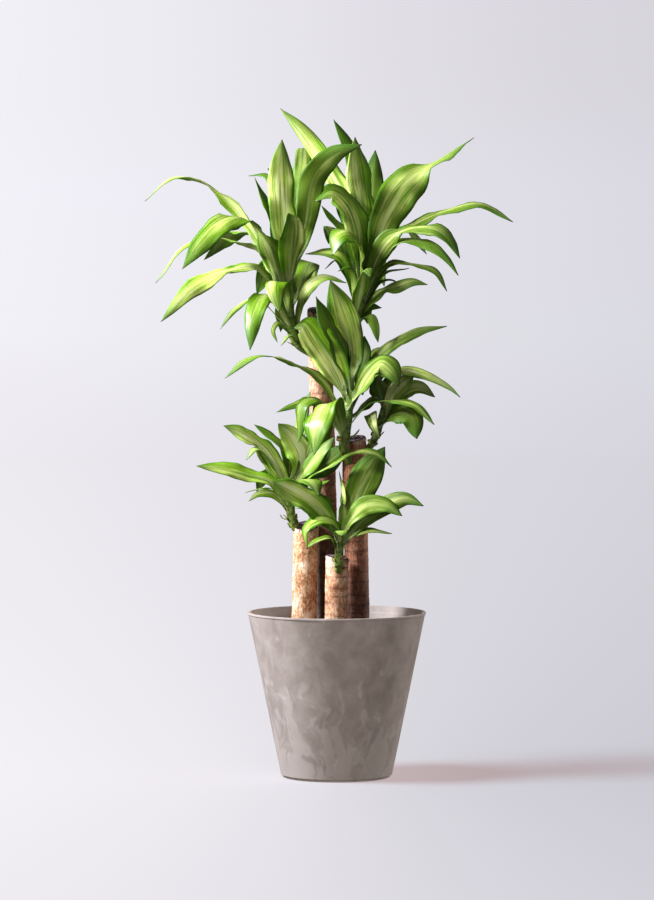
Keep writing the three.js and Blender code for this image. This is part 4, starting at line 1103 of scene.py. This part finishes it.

# Painted glow: the sweep gives off light of its own, stronger up the wall and on the left than
# elsewhere, standing in for studio light that falls off from the left; cool white, matt on the
# room side.
GLOW_HEIGHT = 2.3
backdrop, backdrop_surface = new_material("opal_acrylic_painted_glow")
position = node(backdrop, "TexCoord").outputs["Object"]
place = node(backdrop, "SeparateXYZ", {"Vector": position})
level = node(backdrop, "MapRange", [place.outputs["Z"], 0.0, GLOW_HEIGHT])
painted_glow_tone = node(backdrop, "ValToRGB", {"Fac": level},
            stops=[(0.0, "#bdacad"), (0.06, "#bfafb1"), (0.255, "#c8bdbf"), (0.572, "#d1c9ce"),
                   (0.87, "#d5d1d6")])
off_centre = node(backdrop, "Math", [place.outputs["X"]], operation="ABSOLUTE")
far_off = node(backdrop, "VectorMath", [position], operation="LENGTH")
gradient_room = node(backdrop, "Math", [far_off, 0.26, 0.5], operation="MULTIPLY_ADD")
off_centre_room = node(backdrop, "Math", [off_centre, gradient_room], operation="ADD")
to_right = node(backdrop, "Math", [place.outputs["X"], off_centre_room], operation="DIVIDE")
# Painted light: the glow weakens from left to right, standing in for light falling off away from the key
# side.
strength = node(backdrop, "MapRange", [to_right, -1.0, 1.0, 1.79, 0.45])
tint_place = node(backdrop, "MapRange", [to_right, -1.0])
tint = node(backdrop, "ValToRGB", {"Fac": tint_place}, stops=[(0.0, "#f3fcfa"), (1.0, "#f3eaee")])
tinted = node(backdrop, "VectorMath", [painted_glow_tone, tint], operation="MULTIPLY")
fill(backdrop, backdrop_surface, {"Emission Strength": strength, "Emission Color": tinted,
                                  "Base Color": colour("#9c9ca3"), "Roughness": 1.0,
                                  "Specular IOR Level": 0.0})
backdrop.cycles.emission_sampling = "NONE"
sweep = new_piece("studio_sweep", sweep_mesh, backdrop)
sweep.visible_diffuse = False
sweep.visible_glossy = False

ROOM_LIGHT = 0.26
scene = bpy.context.scene
scene.view_settings.view_transform = "Standard"
world = bpy.data.worlds.new("studio_room")
world.use_nodes = True
world.node_tree.nodes["Background"].inputs["Color"].default_value = colour("#f8f2ee")
world.node_tree.nodes["Background"].inputs["Strength"].default_value = ROOM_LIGHT
scene.world = world

plant_group = bpy.data.collections.new("plant_and_pot")
pot_group = bpy.data.collections.new("pot_alone")
growth_group = bpy.data.collections.new("canes_and_foliage")
edge_group = bpy.data.collections.new("pot_and_right_cane")
stage_group = bpy.data.collections.new("stage")
stage_group.objects.link(sweep)
pot_group.objects.link(pot)
for piece in scene.objects:
    if piece.type == "MESH" and piece != sweep:
        plant_group.objects.link(piece)
    if piece.name.startswith(("cane", "shoot")):
        growth_group.objects.link(piece)
    if piece == pot or piece.name == "cane_right_trunk":
        edge_group.objects.link(piece)


def add_lamp(name, kind, place, aim, size, power, tint, group):
    lamp = bpy.data.lights.new(name, kind)
    if kind == "AREA":
        lamp.shape = "DISK"
        lamp.size = size
    else:
        lamp.angle = size
    lamp.energy = power
    lamp.color = colour(tint)[:3]
    holder = bpy.data.objects.new(name, lamp)
    holder.location = place
    holder.rotation_euler = (Vector(aim) - Vector(place)).to_track_quat("-Z", "Y").to_euler()
    holder.light_linking.receiver_collection = group
    holder.light_linking.blocker_collection = plant_group
    bpy.context.collection.objects.link(holder)


add_lamp("key_lamp", "AREA", (-1.9, -0.36, 1.75), (0, 0, 0.5), 0.5, 150, "#f6f8ff", plant_group)
add_lamp("growth_lamp", "AREA", (-1.4, -1.1, 1.75), (0, 0, 0.9), 0.5, 45, "#fffffa", growth_group)
add_lamp("pot_fill_lamp", "AREA", (-0.5, -3.0, 1.0), (0, 0, 0.2), 1.2, 34, "#fff6f0", pot_group)
add_lamp("edge_lamp", "AREA", (2.6, 1.6, 1.0), (0, 0, 0.2), 0.9, 55, "#fff6f0", edge_group)
add_lamp("floor_lamp", "SUN", (-4.0, -1.0, 6.2), (0, 0, 0), 0.36, 2.88, "#d1f9ff", stage_group)

CAMERA_DISTANCE = 8.0
CAMERA_HEIGHT = 0.95
CAMERA_SIDE = -17.8 * MM
AIM_HEIGHT = 0.6043
CAMERA_LENS = 173.6  # millimetres, as the sensor's height is
SENSOR_HEIGHT = 36
camera = bpy.data.cameras.new("camera")
camera.lens = CAMERA_LENS
camera.sensor_fit = "VERTICAL"
camera.sensor_height = SENSOR_HEIGHT
camera_holder = bpy.data.objects.new("camera", camera)
camera_holder.location = (CAMERA_SIDE, -CAMERA_DISTANCE, CAMERA_HEIGHT)
tilt = math.atan((CAMERA_HEIGHT - AIM_HEIGHT) / CAMERA_DISTANCE)
camera_holder.rotation_euler = (math.pi / 2 - tilt, 0, 0)
bpy.context.collection.objects.link(camera_holder)
scene.camera = camera_holder
